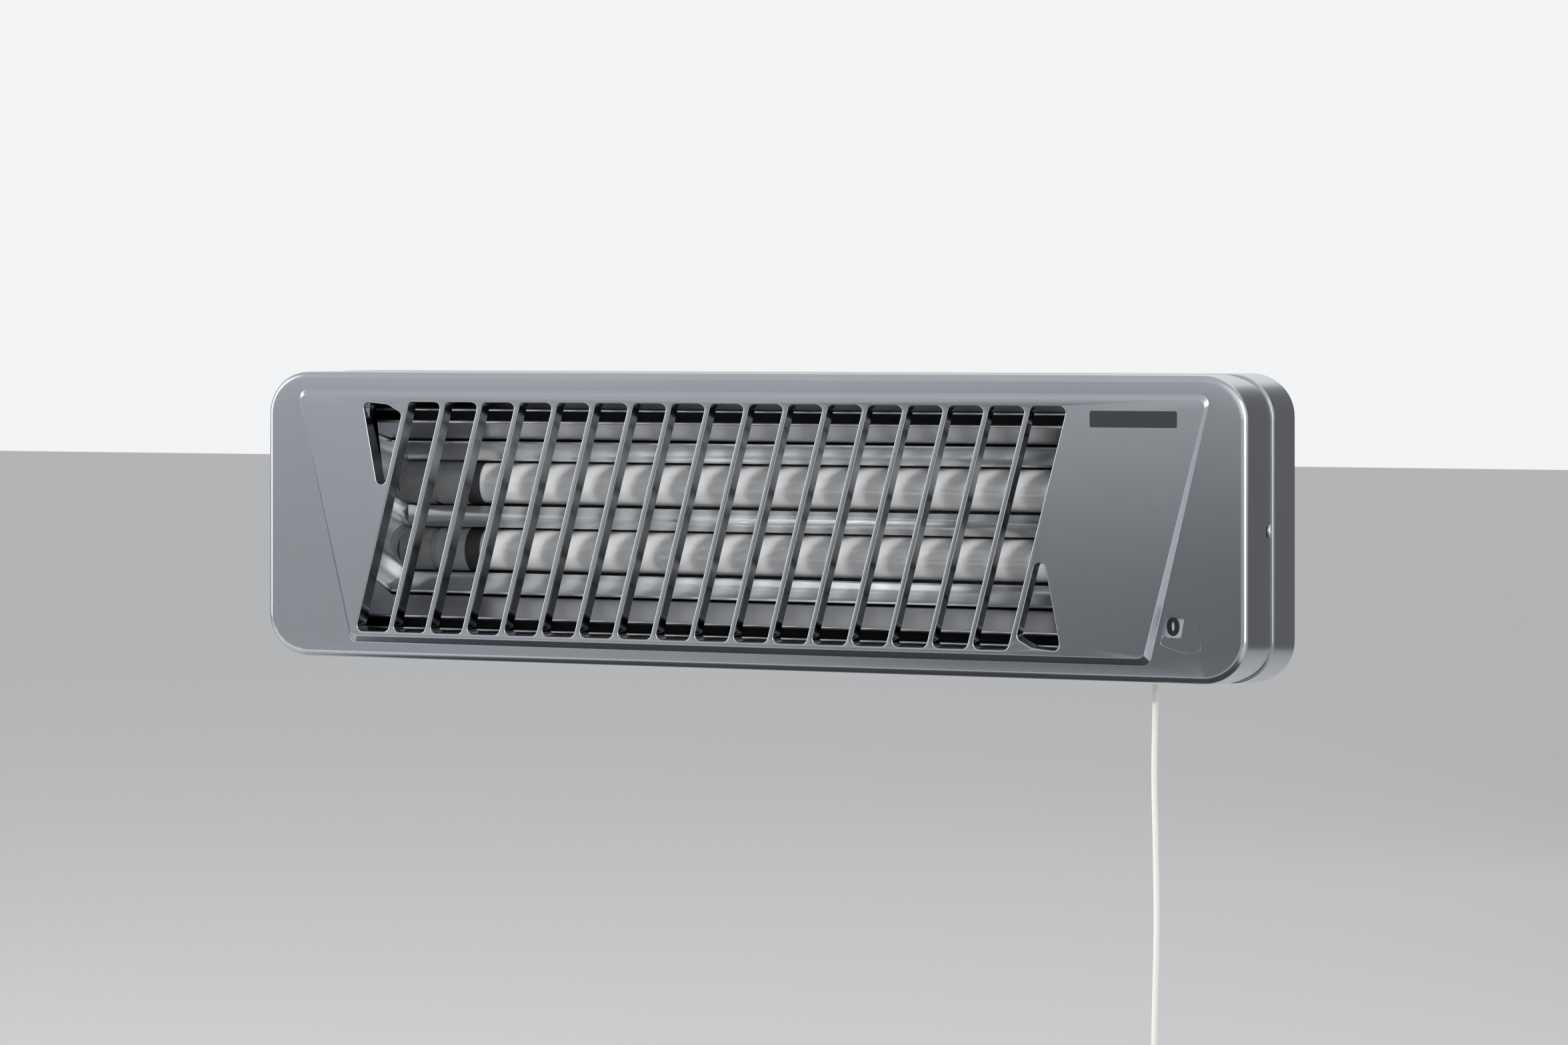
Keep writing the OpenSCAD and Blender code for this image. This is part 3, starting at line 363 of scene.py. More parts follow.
def zinc_plate():
    mat = material("zinc_plate", (0.62, 0.63, 0.64), 0.35, 1.0)
    place = object_coords(mat)
    spangle = node(mat, "ShaderNodeTexVoronoi", Scale=160.0)
    link(mat, place, spangle.inputs["Vector"])
    vary_color(mat, spangle.outputs["Distance"], (0.56, 0.57, 0.58), (0.66, 0.67, 0.68))
    vary_roughness(mat, noise(mat, place, 90, 3), 0.28, 0.42)
    return mat


def milky_quartz():
    mat = material("milky_quartz", (0.9, 0.9, 0.89), 0.3, Coat_Weight=1.0, Coat_Roughness=0.06,
                   Coat_IOR=1.5, Subsurface_Weight=0.8, Subsurface_Radius=(1, 1, 1),
                   Subsurface_Scale=0.006)
    place = object_coords(mat, (3, 40, 40))
    vary_color(mat, noise(mat, place, 5, 3), (0.9, 0.9, 0.89), (0.94, 0.94, 0.93))
    vary_roughness(mat, noise(mat, place, 9, 2), 0.25, 0.35)
    return mat


def ceramic():
    mat = material("ceramic", (0.36, 0.365, 0.37), 0.45)
    place = object_coords(mat)
    vary_color(mat, noise(mat, place, 260, 3), (0.3, 0.305, 0.31), (0.41, 0.415, 0.42))
    bump(mat, noise(mat, place, 700, 2), 0.00004, 0.4)
    return mat


def dark_ring():
    mat = material("dark_ring", (0.02, 0.02, 0.022), 0.5)
    bump(mat, noise(mat, object_coords(mat), 500, 2), 0.00004, 0.4)
    return mat


def moulded(name, color, rough):
    """Moulded plastic with a slight unevenness of gloss."""
    mat = material(name, color, rough)
    place = object_coords(mat)
    vary_roughness(mat, noise(mat, place, 120, 3), rough * 0.85, rough * 1.2)
    bump(mat, noise(mat, place, 1200, 2), 0.00001, 0.4)
    return mat


def turned_metal(name, color, low, high):
    mat = material(name, color, (low + high) / 2, 1.0)
    vary_roughness(mat, noise(mat, object_coords(mat), 400, 3), low, high)
    return mat


def braided_cord():
    mat = material("braided_cord", (0.72, 0.71, 0.67), 0.7, Sheen_Weight=0.3)
    weave = node(mat, "ShaderNodeTexWave", Scale=520.0, Distortion=0.0, bands_direction="DIAGONAL")
    link(mat, object_coords(mat), weave.inputs["Vector"])
    vary_color(mat, weave.outputs["Fac"], (0.62, 0.61, 0.57), (0.78, 0.77, 0.74))
    bump(mat, weave.outputs["Fac"], 0.00015, 0.7)
    return mat


def clear_pane():
    mat = material("clear_pane", (0.95, 0.97, 0.98), 0.04, Transmission_Weight=1.0, IOR=1.25)
    vary_roughness(mat, noise(mat, object_coords(mat), 200, 2), 0.03, 0.07)
    return mat


CASING = satin_casing()
TRAY = tray_sheet()
POLISHED = polished_sheet("polished_sheet", 0.65, 0.22, 0.28)
END_MIRROR = polished_sheet("end_mirror", 1.0, 0.05, 0.08)
ZINC = zinc_plate()
QUARTZ = milky_quartz()
CERAMIC = ceramic()
DARK_RING = dark_ring()
STEEL = turned_metal("machined_steel", (0.6, 0.61, 0.62), 0.2, 0.34)
DULL_STEEL = turned_metal("dull_steel", (0.42, 0.43, 0.45), 0.38, 0.5)
BRASS = turned_metal("brass", (0.75, 0.58, 0.3), 0.22, 0.36)
COIL = turned_metal("coil_wire", (0.35, 0.27, 0.22), 0.4, 0.55)
DARK_PLASTIC = moulded("dark_plastic", (0.03, 0.031, 0.034), 0.42)
WHITE_PLASTIC = moulded("white_plastic", (0.72, 0.705, 0.66), 0.3)
SILVER_PRINT = moulded("silver_print", (0.55, 0.56, 0.58), 0.35)
INK = moulded("ink", (0.008, 0.008, 0.01), 0.4)
RUBBER = moulded("rubber", (0.015, 0.015, 0.016), 0.65)
BADGE = moulded("badge_plate", (0.02, 0.022, 0.027), 0.4)
BROWN_WIRE = moulded("brown_wire", (0.12, 0.05, 0.02), 0.4)
BLUE_WIRE = moulded("blue_wire", (0.03, 0.09, 0.28), 0.4)
CORD = braided_cord()
PANE = clear_pane()


# ------------------------------------------------------------------ mesh helpers
def arc(cx, cz, r, a0, a1, n):
    turns = [math.radians(a0 + (a1 - a0) * i / n) for i in range(n + 1)]
    return [(cx + r * math.cos(t), cz + r * math.sin(t)) for t in turns]


def section(depth, inset, n=12):
    """The casing's rounded outline at a depth, drawn in by an inset."""
    x = CASING_W / 2 - SIDE_FLARE * (1 - depth / BODY_DEPTH) - CORNER_R
    top = HALF_H - CORNER_R
    low = -HALF_H - BOTTOM_DROP * depth / BODY_DEPTH + CORNER_R
    r = CORNER_R - inset
    return (arc(x, top, r, 0, 90, n) + arc(-x, top, r, 90, 180, n)
            + arc(-x, low, r, 180, 270, n) + arc(x, low, r, 270, 360, n))


def soft_outline(corners, radius, grow=0.0, n=5):
    """A convex outline, anticlockwise, moved outward by grow and with its corners rounded."""
    count = len(corners)
    points = [Vector(c) for c in corners]
    moved = []
    for i in range(count):
        before = (points[i] - points[i - 1]).normalized()
        after = (points[(i + 1) % count] - points[i]).normalized()
        out_before = Vector((before.y, -before.x))
        out_after = Vector((after.y, -after.x))
        moved.append(points[i] + (out_before + out_after) * grow / (1 + out_before.dot(out_after)))
    outline = []
    r = max(radius + grow, 0.05)
    for i in range(count):
        u = (moved[i - 1] - moved[i]).normalized()
        v = (moved[(i + 1) % count] - moved[i]).normalized()
        half = u.angle(v) / 2
        centre = moved[i] + (u + v).normalized() * r / math.sin(half)
        start = moved[i] + u * r / math.tan(half) - centre
        end = moved[i] + v * r / math.tan(half) - centre
        a0 = math.degrees(math.atan2(start.y, start.x))
        turn = math.degrees(math.atan2(start.x * end.y - start.y * end.x, start.dot(end)))
        outline += arc(centre.x, centre.y, r, a0, a0 + turn, n)
    return outline


def ring(bm, outline, depth):
    """A closed loop of edges along an outline, at a depth or at one given by a function."""
    verts = []
    for x, z in outline:
        verts.append(bm.verts.new(at(x, depth(x, z) if callable(depth) else depth, z)))
    return [bm.edges.new((verts[i - 1], verts[i])) for i in range(len(verts))]


def skin(bm, rings):
    """Walls from each ring to the next."""
    for first, second in zip(rings, rings[1:]):
        bmesh.ops.bridge_loops(bm, edges=first + second)


def fill(bm, *rings):
    """A flat face with holes between rings."""
    bmesh.ops.triangle_fill(bm, use_beauty=True, edges=[e for r in rings for e in r])


def finish_mesh(bm, name, mat, smooth_angle=35, weighted=True, recalc=True):
    bmesh.ops.remove_doubles(bm, verts=bm.verts, dist=0.000002)
    if recalc:
        bmesh.ops.recalc_face_normals(bm, faces=bm.faces)
    mesh = bpy.data.meshes.new(name)
    bm.to_mesh(mesh)
    bm.free()
    mesh.materials.append(mat)
    for poly in mesh.polygons:
        poly.use_smooth = True
    mesh.set_sharp_from_angle(angle=math.radians(smooth_angle))
    piece = bpy.data.objects.new(name, mesh)
    bpy.context.collection.objects.link(piece)
    if weighted:
        modifier = piece.modifiers.new("even_shading", "WEIGHTED_NORMAL")
        modifier.keep_sharp = True
        modifier.weight = 100
    return piece


def fit(piece, body, slot, *nodes):
    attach(piece, body)
    if nodes:
        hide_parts(*nodes)
    return piece


def lathe(bm, profile, centre, axis, steps=64):
    """Spins a profile of (distance along the axis, radius) points about an axis."""
    axis = Vector(axis)
    side = axis.orthogonal().normalized()
    verts = [bm.verts.new(centre + (axis * a + side * r) * 0.001) for a, r in profile]
    edges = [bm.edges.new(pair) for pair in zip(verts, verts[1:])]
    bmesh.ops.spin(bm, geom=verts + edges, cent=centre, axis=axis, angle=math.tau, steps=steps,
                   use_merge=True)


# ------------------------------------------------------------------ front cover
def slant(x, z):
    return x + BAR_LEAN * z


def panel_face(x, z):
    return -PANEL_MID_RISE + PANEL_SLOPE * z


def slot_corners():
    inset = BAR_W / 2
    slots = []
    for i in range(BAR_COUNT - 1):
        left = FIRST_BAR + i * BAR_PITCH + inset
        right = left + BAR_PITCH - BAR_W
        slots.append([(slant(left, SLOT_LOW), SLOT_LOW), (slant(right, SLOT_LOW), SLOT_LOW),
                      (slant(right, SLOT_TOP), SLOT_TOP), (slant(left, SLOT_TOP), SLOT_TOP)])
    apex = slant(FIRST_BAR, END_APEX_Z) - inset
    top = slant(FIRST_BAR, SLOT_TOP) - inset
    end_half = [(apex, END_APEX_Z), (top - 1.25, SLOT_TOP - 5), (top - 8, SLOT_TOP - 1.25),
                (top - 20, SLOT_TOP)]
    far_half = [(-2 * GRILLE_SHIFT - x, SLOT_TOP + SLOT_LOW - z) for x, z in end_half]
    return slots + [end_half, far_half]


def mix(a, b, t):
    return [((1 - t) * p[0] + t * q[0], (1 - t) * p[1] + t * q[1]) for p, q in zip(a, b)]


def front_cover():
    bm = bmesh.new()
    # Outside: the frame's rounded edge, the skirt, and its end turned inwards
    rings = []
    for i in range(7):
        t = math.radians(15 * i)
        depth = EDGE_R * (1 - math.cos(t))
        rings.append(ring(bm, section(depth, EDGE_R * (1 - math.sin(t))), depth))
    for depth, inset in ((SKIRT_DEPTH - 0.4, 0), (SKIRT_DEPTH - 0.1, 0.12), (SKIRT_DEPTH, 0.4),
                         (SKIRT_DEPTH - SEAM, SHEET_WALL), (SHEET_WALL, SHEET_WALL)):
        rings.append(ring(bm, section(depth, inset), depth))
    skin(bm, rings)
    # The panel's step, from its face down to the frame
    low_w = PANEL_LOW_W / 2 - FACE_INSET_LOW
    top_w = PANEL_TOP_W / 2 - FACE_INSET_TOP
    half = PANEL_H / 2 - FACE_INSET_H
    face = [(-low_w, -half), (low_w, -half), (top_w, half), (-top_w, half)]
    base = [(-low_w - STEP_RUN_LOW, -half - RISE_LOW), (low_w + STEP_RUN_LOW, -half - RISE_LOW),
            (top_w + STEP_RUN_TOP, half + RISE_TOP), (-top_w - STEP_RUN_TOP, half + RISE_TOP)]
    inner = soft_outline(face, FACE_R, 0, 8)
    outer = soft_outline(base, BASE_R, 0, 8)
    step = [ring(bm, mix(inner, outer, out), lambda x, z, d=down: panel_face(x, z) * (1 - d))
            for out, down in STEP_PROFILE]
    skin(bm, step)
    # Slots through the panel and the deep grille behind it
    mouths = []
    backs = []
    for number, corners in enumerate(slot_corners()):
        # Rims a hair wider towards the ends: edges in one line would leave the back open
        rim = RIM + RIM_SPREAD * (number - RIM_MIDDLE) ** 2
        wall = []
        for i in range(4):
            t = math.radians(30 * i)
            grow = SLOT_EDGE * (1 - math.sin(t))
            down = SLOT_EDGE * (1 - math.cos(t))
            wall.append(ring(bm, soft_outline(corners, SLOT_R, grow),
                             lambda x, z, d=down: panel_face(x, z) + d))
        for depth, grow in ((BAR_DEPTH - RIM, 0), (BAR_DEPTH, rim)):
            wall.append(ring(bm, soft_outline(corners, SLOT_R, grow), depth))
        skin(bm, wall)
        mouths.append(wall[0])
        backs.append(wall[-1])
    fill(bm, step[0], *mouths)
    reach = BAR_PITCH + BLOCK_RIM
    low = SLOT_LOW - BLOCK_RIM
    top = SLOT_TOP + BLOCK_RIM
    block = [(slant(FIRST_BAR, low) - BLOCK_RIM, low), (slant(LAST_BAR, low) + reach, low),
             (slant(LAST_BAR, top) + BLOCK_RIM, top), (slant(FIRST_BAR, top) - reach, top)]
    outline = soft_outline(block, BLOCK_R)
    block_rings = [ring(bm, outline, BAR_DEPTH), ring(bm, outline, SHEET_WALL)]
    skin(bm, block_rings)
    fill(bm, block_rings[0], *backs)
    # The shallow dish at the window, and the window's opening
    dish = [ring(bm, soft_outline(DISH, DISH_R, grow, 4), depth)
            for grow, depth in ((0.06, 0), (0, 0.06), (0, DISH_CUT))]
    skin(bm, dish)
    window = [ring(bm, soft_outline(WINDOW, WINDOW_R, grow, 3), depth)
              for grow, depth in ((WINDOW_EDGE, DISH_CUT), (0, DISH_CUT + WINDOW_EDGE),
                                  (0, SHEET_WALL))]
    skin(bm, window)
    fill(bm, dish[-1], window[0])
    fill(bm, rings[0], step[-1], dish[0])
    fill(bm, rings[-1], block_rings[1], window[-1])
    return fit(finish_mesh(bm, "front_cover_shell", CASING), "heater", "casing", "front_cover")


front_cover()


# ------------------------------------------------------------------ rear shell
def rear_shell():
    bm = bmesh.new()
    # The channel's floor and its square rear edge, then the side and the rounded back edge
    steps = [(SHELL_FRONT + SEAM, SHEET_WALL), (SHELL_FRONT, CHANNEL_CUT + 0.3),
             (SHELL_FRONT + 0.1, CHANNEL_CUT + 0.08), (SHELL_FRONT + 0.3, CHANNEL_CUT),
             (CHANNEL_END - 0.1, CHANNEL_CUT), (CHANNEL_END, CHANNEL_CUT - 0.1),
             (CHANNEL_END + 0.05, 0.25), (CHANNEL_END + 0.15, 0.08), (CHANNEL_END + 0.35, 0)]
    for i in range(1, 7):
        t = math.radians(15 * i)
        steps.append((BODY_DEPTH - BACK_EDGE_R * (1 - math.sin(t)),
                      BACK_EDGE_R * (1 - math.cos(t))))
    rings = [ring(bm, section(min(depth, BODY_DEPTH), inset), depth) for depth, inset in steps]
    skin(bm, rings)
    inner = [ring(bm, section(BACK_INNER, SHEET_WALL), BACK_INNER),
             ring(bm, section(SHELL_FRONT + SEAM, SHEET_WALL), SHELL_FRONT + SEAM)]
    skin(bm, inner)
    holes = []
    for z in VENT_Z:
        for i in range(VENT_COUNT):
            left = (i - (VENT_COUNT - 1) / 2) * VENT_PITCH - VENT_SIZE[0] / 2
            right = left + VENT_SIZE[0]
            top = z + VENT_SIZE[1]
            holes.append([(left, z), (right, z), (right, top), (left, top)])
    outside = []
    inside = []
    for corners in holes:
        wall = [ring(bm, soft_outline(corners, VENT_R, grow), depth)
                for depth, grow in ((BODY_DEPTH, 0.3), (BODY_DEPTH - 0.3, 0), (BACK_INNER, 0))]
        skin(bm, wall)
        outside.append(wall[0])
        inside.append(wall[-1])
    inlet = [ring(bm, arc(*INLET, INLET_R, 0, 352.5, 47), depth)
             for depth in (BODY_DEPTH, BACK_INNER)]
    skin(bm, inlet)
    fill(bm, rings[-1], *outside, inlet[0])
    fill(bm, inner[0], *inside, inlet[1])
    return fit(finish_mesh(bm, "rear_shell_pressing", CASING), "heater", "casing", "rear_shell")


rear_shell()


# ------------------------------------------------------------------ reflector and tubes
def reflector():
    bm = bmesh.new()
    turn = math.degrees(math.acos(-TROUGH_OPEN / TROUGH_R))
    outer = 2 * TUBE_H - (TUBE_H - TROUGH_R * math.sin(math.radians(turn)))
    front = TUBE_DEPTH - TROUGH_OPEN
    strip = [(front - STRIP_RUN * (1 - math.cos(t)), outer + STRIP_RUN * math.sin(t))
             for t in (math.radians(9 * i) for i in range(1, 11))]
    path = ([(depth, -h) for depth, h in reversed(strip)]
            + arc(TUBE_DEPTH, -TUBE_H, TROUGH_R, -turn, turn, TROUGH_STEPS)
            + arc(TUBE_DEPTH, TUBE_H, TROUGH_R, -turn, turn, TROUGH_STEPS)
            + strip)
    # Drawn too long, then cut along the leaning end plates
    far = REFLECTOR_HALF + END_SPARE
    verts = [bm.verts.new(at(-TUBE_SHIFT - far, depth, AXIS_Z + h)) for depth, h in path]
    edges = [bm.edges.new(pair) for pair in zip(verts, verts[1:])]
    made = bmesh.ops.extrude_edge_only(bm, edges=edges)
    new_verts = [v for v in made["geom"] if isinstance(v, bmesh.types.BMVert)]
    bmesh.ops.translate(bm, verts=new_verts, vec=Vector((2 * far * 0.001, 0, 0)))
    for side, lean in END_LEANS.items():
        end = at(-TUBE_SHIFT + side * (REFLECTOR_HALF - SEAM), TUBE_DEPTH, 0)
        normal = Vector((side * math.cos(lean), math.sin(lean), 0))
        bmesh.ops.bisect_plane(bm, geom=bm.verts[:] + bm.edges[:] + bm.faces[:], clear_outer=True,
                               plane_co=end, plane_no=normal)
    bmesh.ops.recalc_face_normals(bm, faces=bm.faces)
    piece = finish_mesh(bm, "reflector_sheet", POLISHED, 20, weighted=False, recalc=False)
    thick = piece.modifiers.new("sheet", "SOLIDIFY")
    thick.thickness = SHEET * 0.9 * 0.001
    # The sheet's thickness goes to the side away from the tubes
    middle = min(piece.data.polygons, key=lambda p: abs(p.center.z - (AXIS_Z + TUBE_H) * 0.001))
    thick.offset = -1 if middle.normal.y < 0 else 1
    return fit(piece, "heater", "polished", "reflector")


reflector()


def quartz_tube(name, h, node_name):
    bm = bmesh.new()
    reach = CAP_FROM + CAP_SEAT - 0.2
    inner = TUBE_R - TUBE_WALL
    lathe(bm, [(-reach, inner), (-reach, TUBE_R - 0.2), (-reach + 0.2, TUBE_R),
               (reach - 0.2, TUBE_R), (reach, TUBE_R - 0.2), (reach, inner), (-reach, inner)],
          at(-TUBE_SHIFT, TUBE_DEPTH, AXIS_Z + h), (1, 0, 0), 96)
    return fit(finish_mesh(bm, name, QUARTZ), "heater", "quartz", node_name)


quartz_tube("upper_tube", TUBE_H, "upper_quartz_tube")
quartz_tube("lower_tube", -TUBE_H, "lower_quartz_tube")


def tube_ends(side, name):
    """The ceramic caps and dark collars at one end of the tubes."""
    cap = bmesh.new()
    collar = bmesh.new()
    mouth = TUBE_R + TUBE_FIT
    groove = CAP_R - GROOVE_D
    groove_to = GROOVE_AT + GROOVE_W
    seat = CAP_FROM + CAP_SEAT
    collar_from = CAP_FROM - COLLAR_LEN
    for h in (-TUBE_H, TUBE_H):
        centre = at(-TUBE_SHIFT, TUBE_DEPTH, AXIS_Z + h)
        lathe(cap, [(CAP_FROM, mouth), (CAP_FROM, CAP_R - 0.4), (CAP_FROM + 0.4, CAP_R),
                    (GROOVE_AT - 0.2, CAP_R), (GROOVE_AT, CAP_R - 0.2), (GROOVE_AT, groove),
                    (groove_to, groove), (groove_to, CAP_R - 0.2), (groove_to + 0.2, CAP_R),
                    (CAP_TO - 1, CAP_R), (CAP_TO, CAP_R - 1), (CAP_TO, STUD_BORE_R),
                    (seat, STUD_BORE_R), (seat, mouth), (CAP_FROM, mouth)],
              centre, (side, 0, 0))
        lathe(collar, [(collar_from, mouth), (collar_from, COLLAR_R - 0.2),
                       (collar_from + 0.3, COLLAR_R), (CAP_FROM - 0.3, COLLAR_R),
                       (CAP_FROM, COLLAR_R - 0.2), (CAP_FROM, mouth), (collar_from, mouth)],
              centre, (side, 0, 0))
    fit(finish_mesh(cap, name + "_caps", CERAMIC), "heater", "ceramic", name + "_end_caps")
    fit(finish_mesh(collar, name + "_collars", DARK_RING), "heater", "dark_ring",
        name + "_tube_collars")


tube_ends(-1, "left")
tube_ends(1, "right")


# ------------------------------------------------------------------ pull cord
cord_curve = bpy.data.curves.new("pull_cord_line", "CURVE")
cord_curve.dimensions = "3D"
cord_curve.bevel_depth = CORD_R * 0.001
cord_curve.bevel_resolution = 5
cord_curve.use_fill_caps = True
cord_spline = cord_curve.splines.new("POLY")
cord_spline.points.add(len(CORD_ROUTE) - 1)
for spline_point, (drift, drop) in zip(cord_spline.points, CORD_ROUTE):
    spline_point.co = (*at(CORD_X + drift, CORD_DEPTH, BEAD_Z - drop), 1)
cord_curve.materials.append(CORD)
pull_cord = bpy.data.objects.new("pull_cord_line", cord_curve)
bpy.context.collection.objects.link(pull_cord)
fit(pull_cord, "cord", "cord", "pull_cord")


def pull_knob():
    bm = bmesh.new()
    top = KNOB_TOP
    low = top - KNOB_LENGTH
    profile = [(top, KNOB_BORE), (top, 3.0), (top - 0.3, 3.5), (top - 0.9, 3.8), (top - 5, 4.0),
               (top - 9, 4.35), (top - 13, 5.0), (top - 18, 6.0), (top - 23, 7.0), (top - 27, 7.7),
               (low + 2.5, 8.0), (low + 1.2, 8.0), (low + 0.4, 7.8), (low, 7.2), (low, 5.6),
               (low + 0.4, 5.3), (low + 12, KNOB_HOLLOW), (3.8, KNOB_HOLLOW), (3.8, KNOB_BORE),
               (top, KNOB_BORE)]
    lathe(bm, profile, at(CORD_X, CORD_DEPTH, BEAD_Z - CORD_DROP), (0, 0, 1), 64)
    return fit(finish_mesh(bm, "bell_pull", WHITE_PLASTIC), "cord", "white_plastic", "pull_knob")


bell_pull = pull_knob()


# ------------------------------------------------------------------ numeral disc, window and badge
def numeral(text, turn):
    curve = bpy.data.curves.new("numeral_" + text, "FONT")
    curve.body = text
    curve.align_x = "CENTER"
    curve.align_y = "CENTER"
    curve.size = NUMERAL_SIZE * 0.001
    curve.extrude = NUMERAL_RISE * 0.001
    curve.offset = NUMERAL_BOLD * 0.001
    curve.resolution_u = 6
    made = bpy.data.objects.new("numeral_" + text, curve)
    bpy.context.collection.objects.link(made)
    bpy.context.view_layer.update()
    mesh = bpy.data.meshes.new_from_object(made)
    bpy.data.objects.remove(made)
    # Upright at the disc's lowest point, then turned about the disc's axis
    mesh.transform(Matrix.Rotation(math.radians(90), 4, "X"))
    mesh.transform(Matrix.Translation((0, 0, -NUMERAL_R * 0.001)))
    mesh.transform(Matrix.Rotation(math.radians(turn), 4, "Y"))
    mesh.transform(Matrix.Translation(at(DIAL_X, DISC_FRONT - 0.02, DIAL_Z)))
    return mesh


def numerals():
    bm = bmesh.new()
    for i in range(NUMERAL_COUNT):
        bm.from_mesh(numeral("012"[i % 3], -360 / NUMERAL_COUNT * i))
    return fit(finish_mesh(bm, "disc_numerals", INK, weighted=False), "dial", "disc_silver")


numerals()


def blank_badge():
    bm = bmesh.new()
    left, right = BADGE_X[0] + BADGE_GAP, BADGE_X[1] - BADGE_GAP
    low, top = BADGE_Z[0] + BADGE_GAP, BADGE_Z[1] - BADGE_GAP
    corners = [(left, low), (right, low), (right, top), (left, top)]
    rings = [ring(bm, soft_outline(corners, BADGE_R, grow),
                  lambda x, z, d=down: panel_face(x, z) + d)
             for grow, down in ((-0.3, -0.08), (-0.1, -0.06), (0, 0.02), (0, 0.3))]
    skin(bm, rings)
    fill(bm, rings[0])
    fill(bm, rings[-1])
    return fit(finish_mesh(bm, "blank_badge_plate", BADGE), "heater", "badge", "blank_badge")


blank_badge()


# ------------------------------------------------------------------ screws
def side_screws():
    bm = bmesh.new()
    neck = CASING_W / 2 - SIDE_FLARE * (1 - SCREW_DEPTH / BODY_DEPTH) - CHANNEL_CUT + 0.15
    for side in (-1, 1):
        lathe(bm, [(-7, 0.02), (-7, 1.45), (0, 1.45), (0, 2.6), (0.4, 2.8), (0.8, 2.7), (1.15, 2.3),
                   (1.35, 1.7), (1.4, 1.0), (0.7, 0.6), (0.7, 0.02), (-7, 0.02)],
              at(side * neck, SCREW_DEPTH, SCREW_Z), (side, 0, 0), 32)
    return fit(finish_mesh(bm, "side_screws", DULL_STEEL), "heater", "steel", "cover_screws")


side_screws()


# ------------------------------------------------------------------ CAD nodes that stay
CARRIED = {
    TRAY: ["reflector_tray"],
    END_MIRROR: ["left_reflector_end", "right_reflector_end"],
    ZINC: ["wall_bracket", "hinge_yoke", "left_link_strip"],
    STEEL: ["pivot_pins", "pivot_nuts", "yoke_screws", "tray_screws", "terminal_studs",
            "switch_screws", "return_spring", "dial_shaft"],
    COIL: ["upper_heating_coil", "lower_heating_coil"],
    BRASS: ["terminal_nuts", "terminal_screws", "earth_screw", "contact_blades", "ratchet_wheel"],
    CERAMIC: ["thermal_cutout"],
    RUBBER: ["inlet_grommet", "pivot_washers"],
    DARK_PLASTIC: ["switch_housing", "switch_lid", "cord_bush"],
    WHITE_PLASTIC: ["terminal_block", "pull_slider", "switch_cam"],
    SILVER_PRINT: ["indicator_disc"],
    BROWN_WIRE: ["live_wire", "cutout_wire", "upper_feed_wire", "lower_feed_wire"],
    BLUE_WIRE: ["return_wire"],
    CORD: ["cord_beads"],
    PANE: ["indicator_window"],
}
for finish, names in CARRIED.items():
    for name in names:
        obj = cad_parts[name]
        obj.data.materials.clear()
        obj.data.materials.append(finish)

# ------------------------------------------------------------------ stage and light
FLOOR_Z = -0.55
UPRIGHT = (math.radians(90), 0, 0)
FLAT = (0, 0, 0)


def stage_plane(name, size, place, turn, color, hide_from_camera=False, only_reflected=False):
    """The floor, or a card that the metal mirrors and the camera doesn't see."""
    bm = bmesh.new()
    bmesh.ops.create_grid(bm, x_segments=1, y_segments=1, size=0.5)
    mesh = bpy.data.meshes.new(name)
    bm.to_mesh(mesh)
    bm.free()
    mesh.transform(Matrix.Diagonal((*size, 1, 1)))
    mesh.materials.append(material(name, color, 0.7))
    made = bpy.data.objects.new(name, mesh)
    made.location = place
    made.rotation_euler = turn
    made.visible_camera = not hide_from_camera
    if only_reflected:
        made.visible_diffuse = made.visible_shadow = False
    bpy.context.collection.objects.link(made)
    return made


stage_plane("floor", (30, 30), (0, 0, FLOOR_Z), FLAT, (0.72, 0.72, 0.72))
stage_plane("dark_card", (1.5, 0.56), (-0.2, -3.1, -0.33), UPRIGHT, (0.004, 0.004, 0.005), True)
stage_plane("rear_card", (1.6, 2.0), (1.15, 2.6, 0.0), UPRIGHT, (0.16, 0.16, 0.17), True)
stage_plane("under_card", (1.2, 1.5), (0.18, -0.45, FLOOR_Z + 0.01), FLAT, (0.06, 0.06, 0.065),
            True, True)


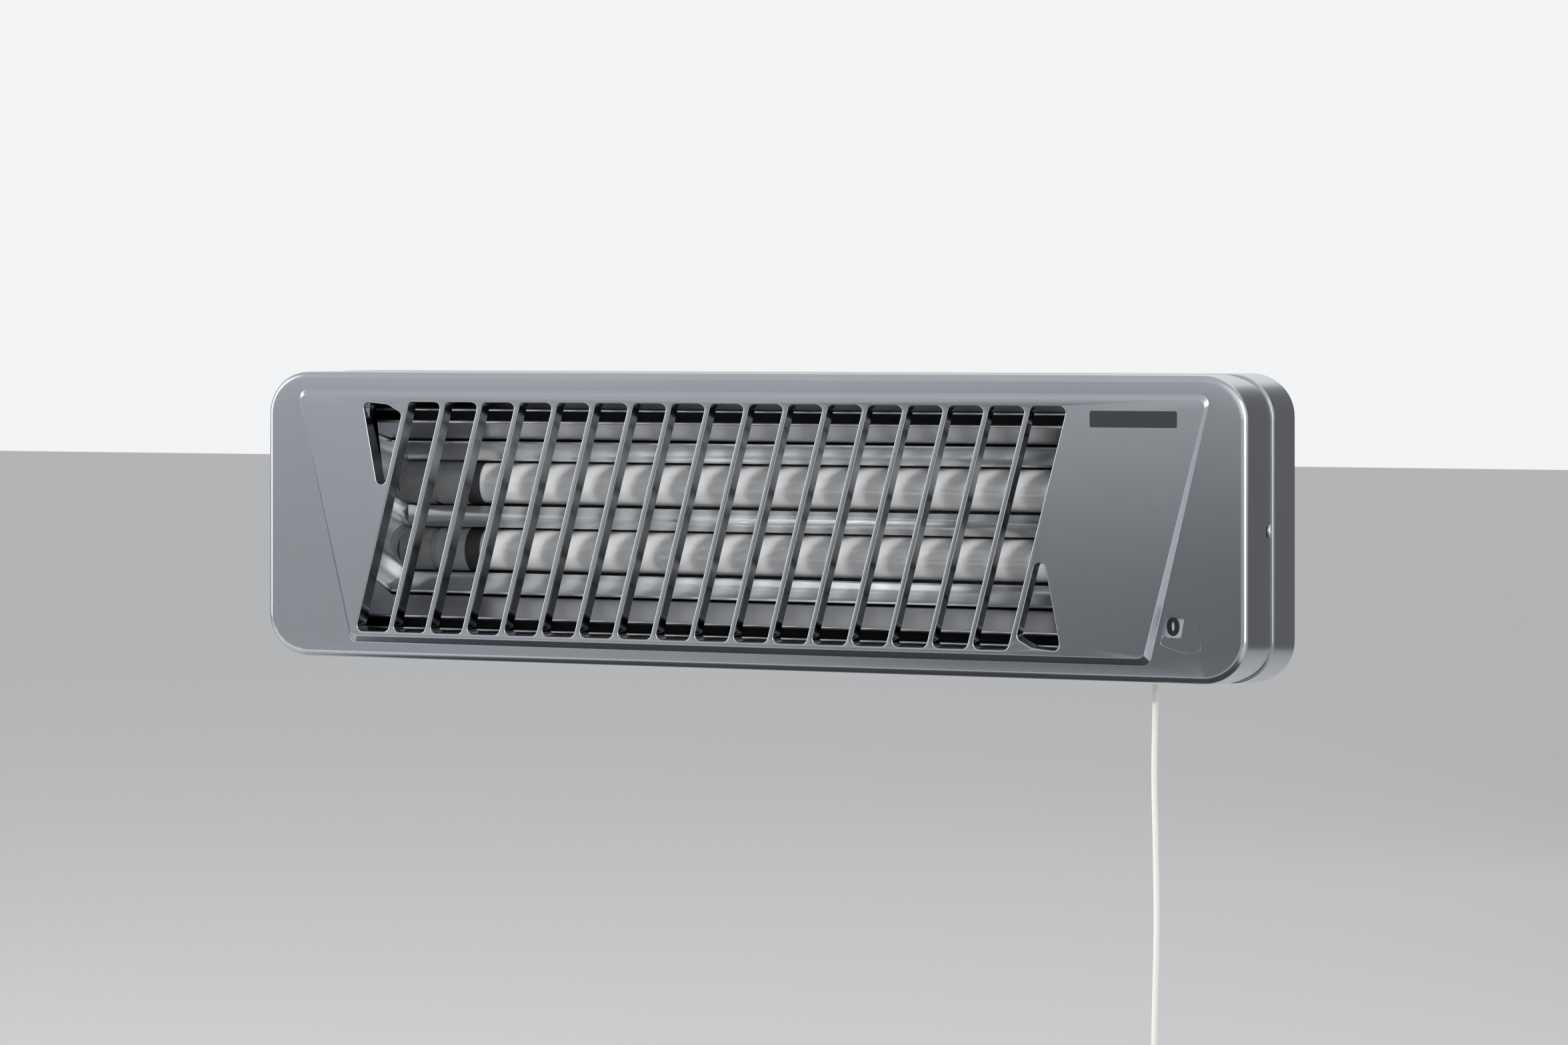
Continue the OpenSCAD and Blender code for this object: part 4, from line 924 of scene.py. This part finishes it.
def softbox(name, size, energy, place, aim, reflected=True):
    light = bpy.data.lights.new(name, "AREA")
    light.shape = "RECTANGLE"
    light.size, light.size_y = size
    light.energy = energy
    made = bpy.data.objects.new(name, light)
    made.location = place
    made.rotation_euler = (Vector(aim) - Vector(place)).to_track_quat("-Z", "Y").to_euler()
    made.visible_glossy = reflected
    bpy.context.collection.objects.link(made)


softbox("key", (1.5, 1.4), 9, (-2.3, -1.3, 1.5), (0, -0.05, 0))
# Throws the bars' shadows on the tubes, and isn't mirrored
softbox("small_key", (0.16, 0.16), 48, (-1.55, -2.1, 0.95), (0, -0.06, 0), False)
softbox("fill", (3.0, 2.6), 12, (1.9, -1.7, 1.2), (0, -0.05, 0))
softbox("left_strip", (0.5, 1.6), 13, (-2.1, -0.75, 0.5), (0, -0.1, 0))
softbox("right_strip", (1.0, 1.4), 15, (2.0, -0.5, 0.35), (0.2, -0.1, 0))
softbox("back", (1.8, 1.0), 4, (0.4, 2.2, 1.4), (0, 0, 0))

# The room is a little brighter where it is seen, mirrored or looked through than where it lights
world = bpy.data.worlds.new("studio")
bpy.context.scene.world = world
world.use_nodes = True
tree = world.node_tree
background = tree.nodes["Background"]
background.inputs["Color"].default_value = (0.8, 0.81, 0.83, 1)
background.inputs["Strength"].default_value = 0.66
pale = tree.nodes.new("ShaderNodeBackground")
pale.inputs["Color"].default_value = (0.93, 0.94, 0.95, 1)
pale.inputs["Strength"].default_value = 0.96
paths = tree.nodes.new("ShaderNodeLightPath")
seen = tree.nodes.new("ShaderNodeMath")
seen.operation = "MAXIMUM"
seen_all = tree.nodes.new("ShaderNodeMath")
seen_all.operation = "MAXIMUM"
blend = tree.nodes.new("ShaderNodeMixShader")
tree.links.new(paths.outputs["Is Camera Ray"], seen.inputs[0])
tree.links.new(paths.outputs["Is Glossy Ray"], seen.inputs[1])
tree.links.new(seen.outputs[0], seen_all.inputs[0])
tree.links.new(paths.outputs["Is Transmission Ray"], seen_all.inputs[1])
tree.links.new(seen_all.outputs[0], blend.inputs[0])
tree.links.new(background.outputs[0], blend.inputs[1])
tree.links.new(pale.outputs[0], blend.inputs[2])
tree.links.new(blend.outputs[0], tree.nodes["World Output"].inputs["Surface"])
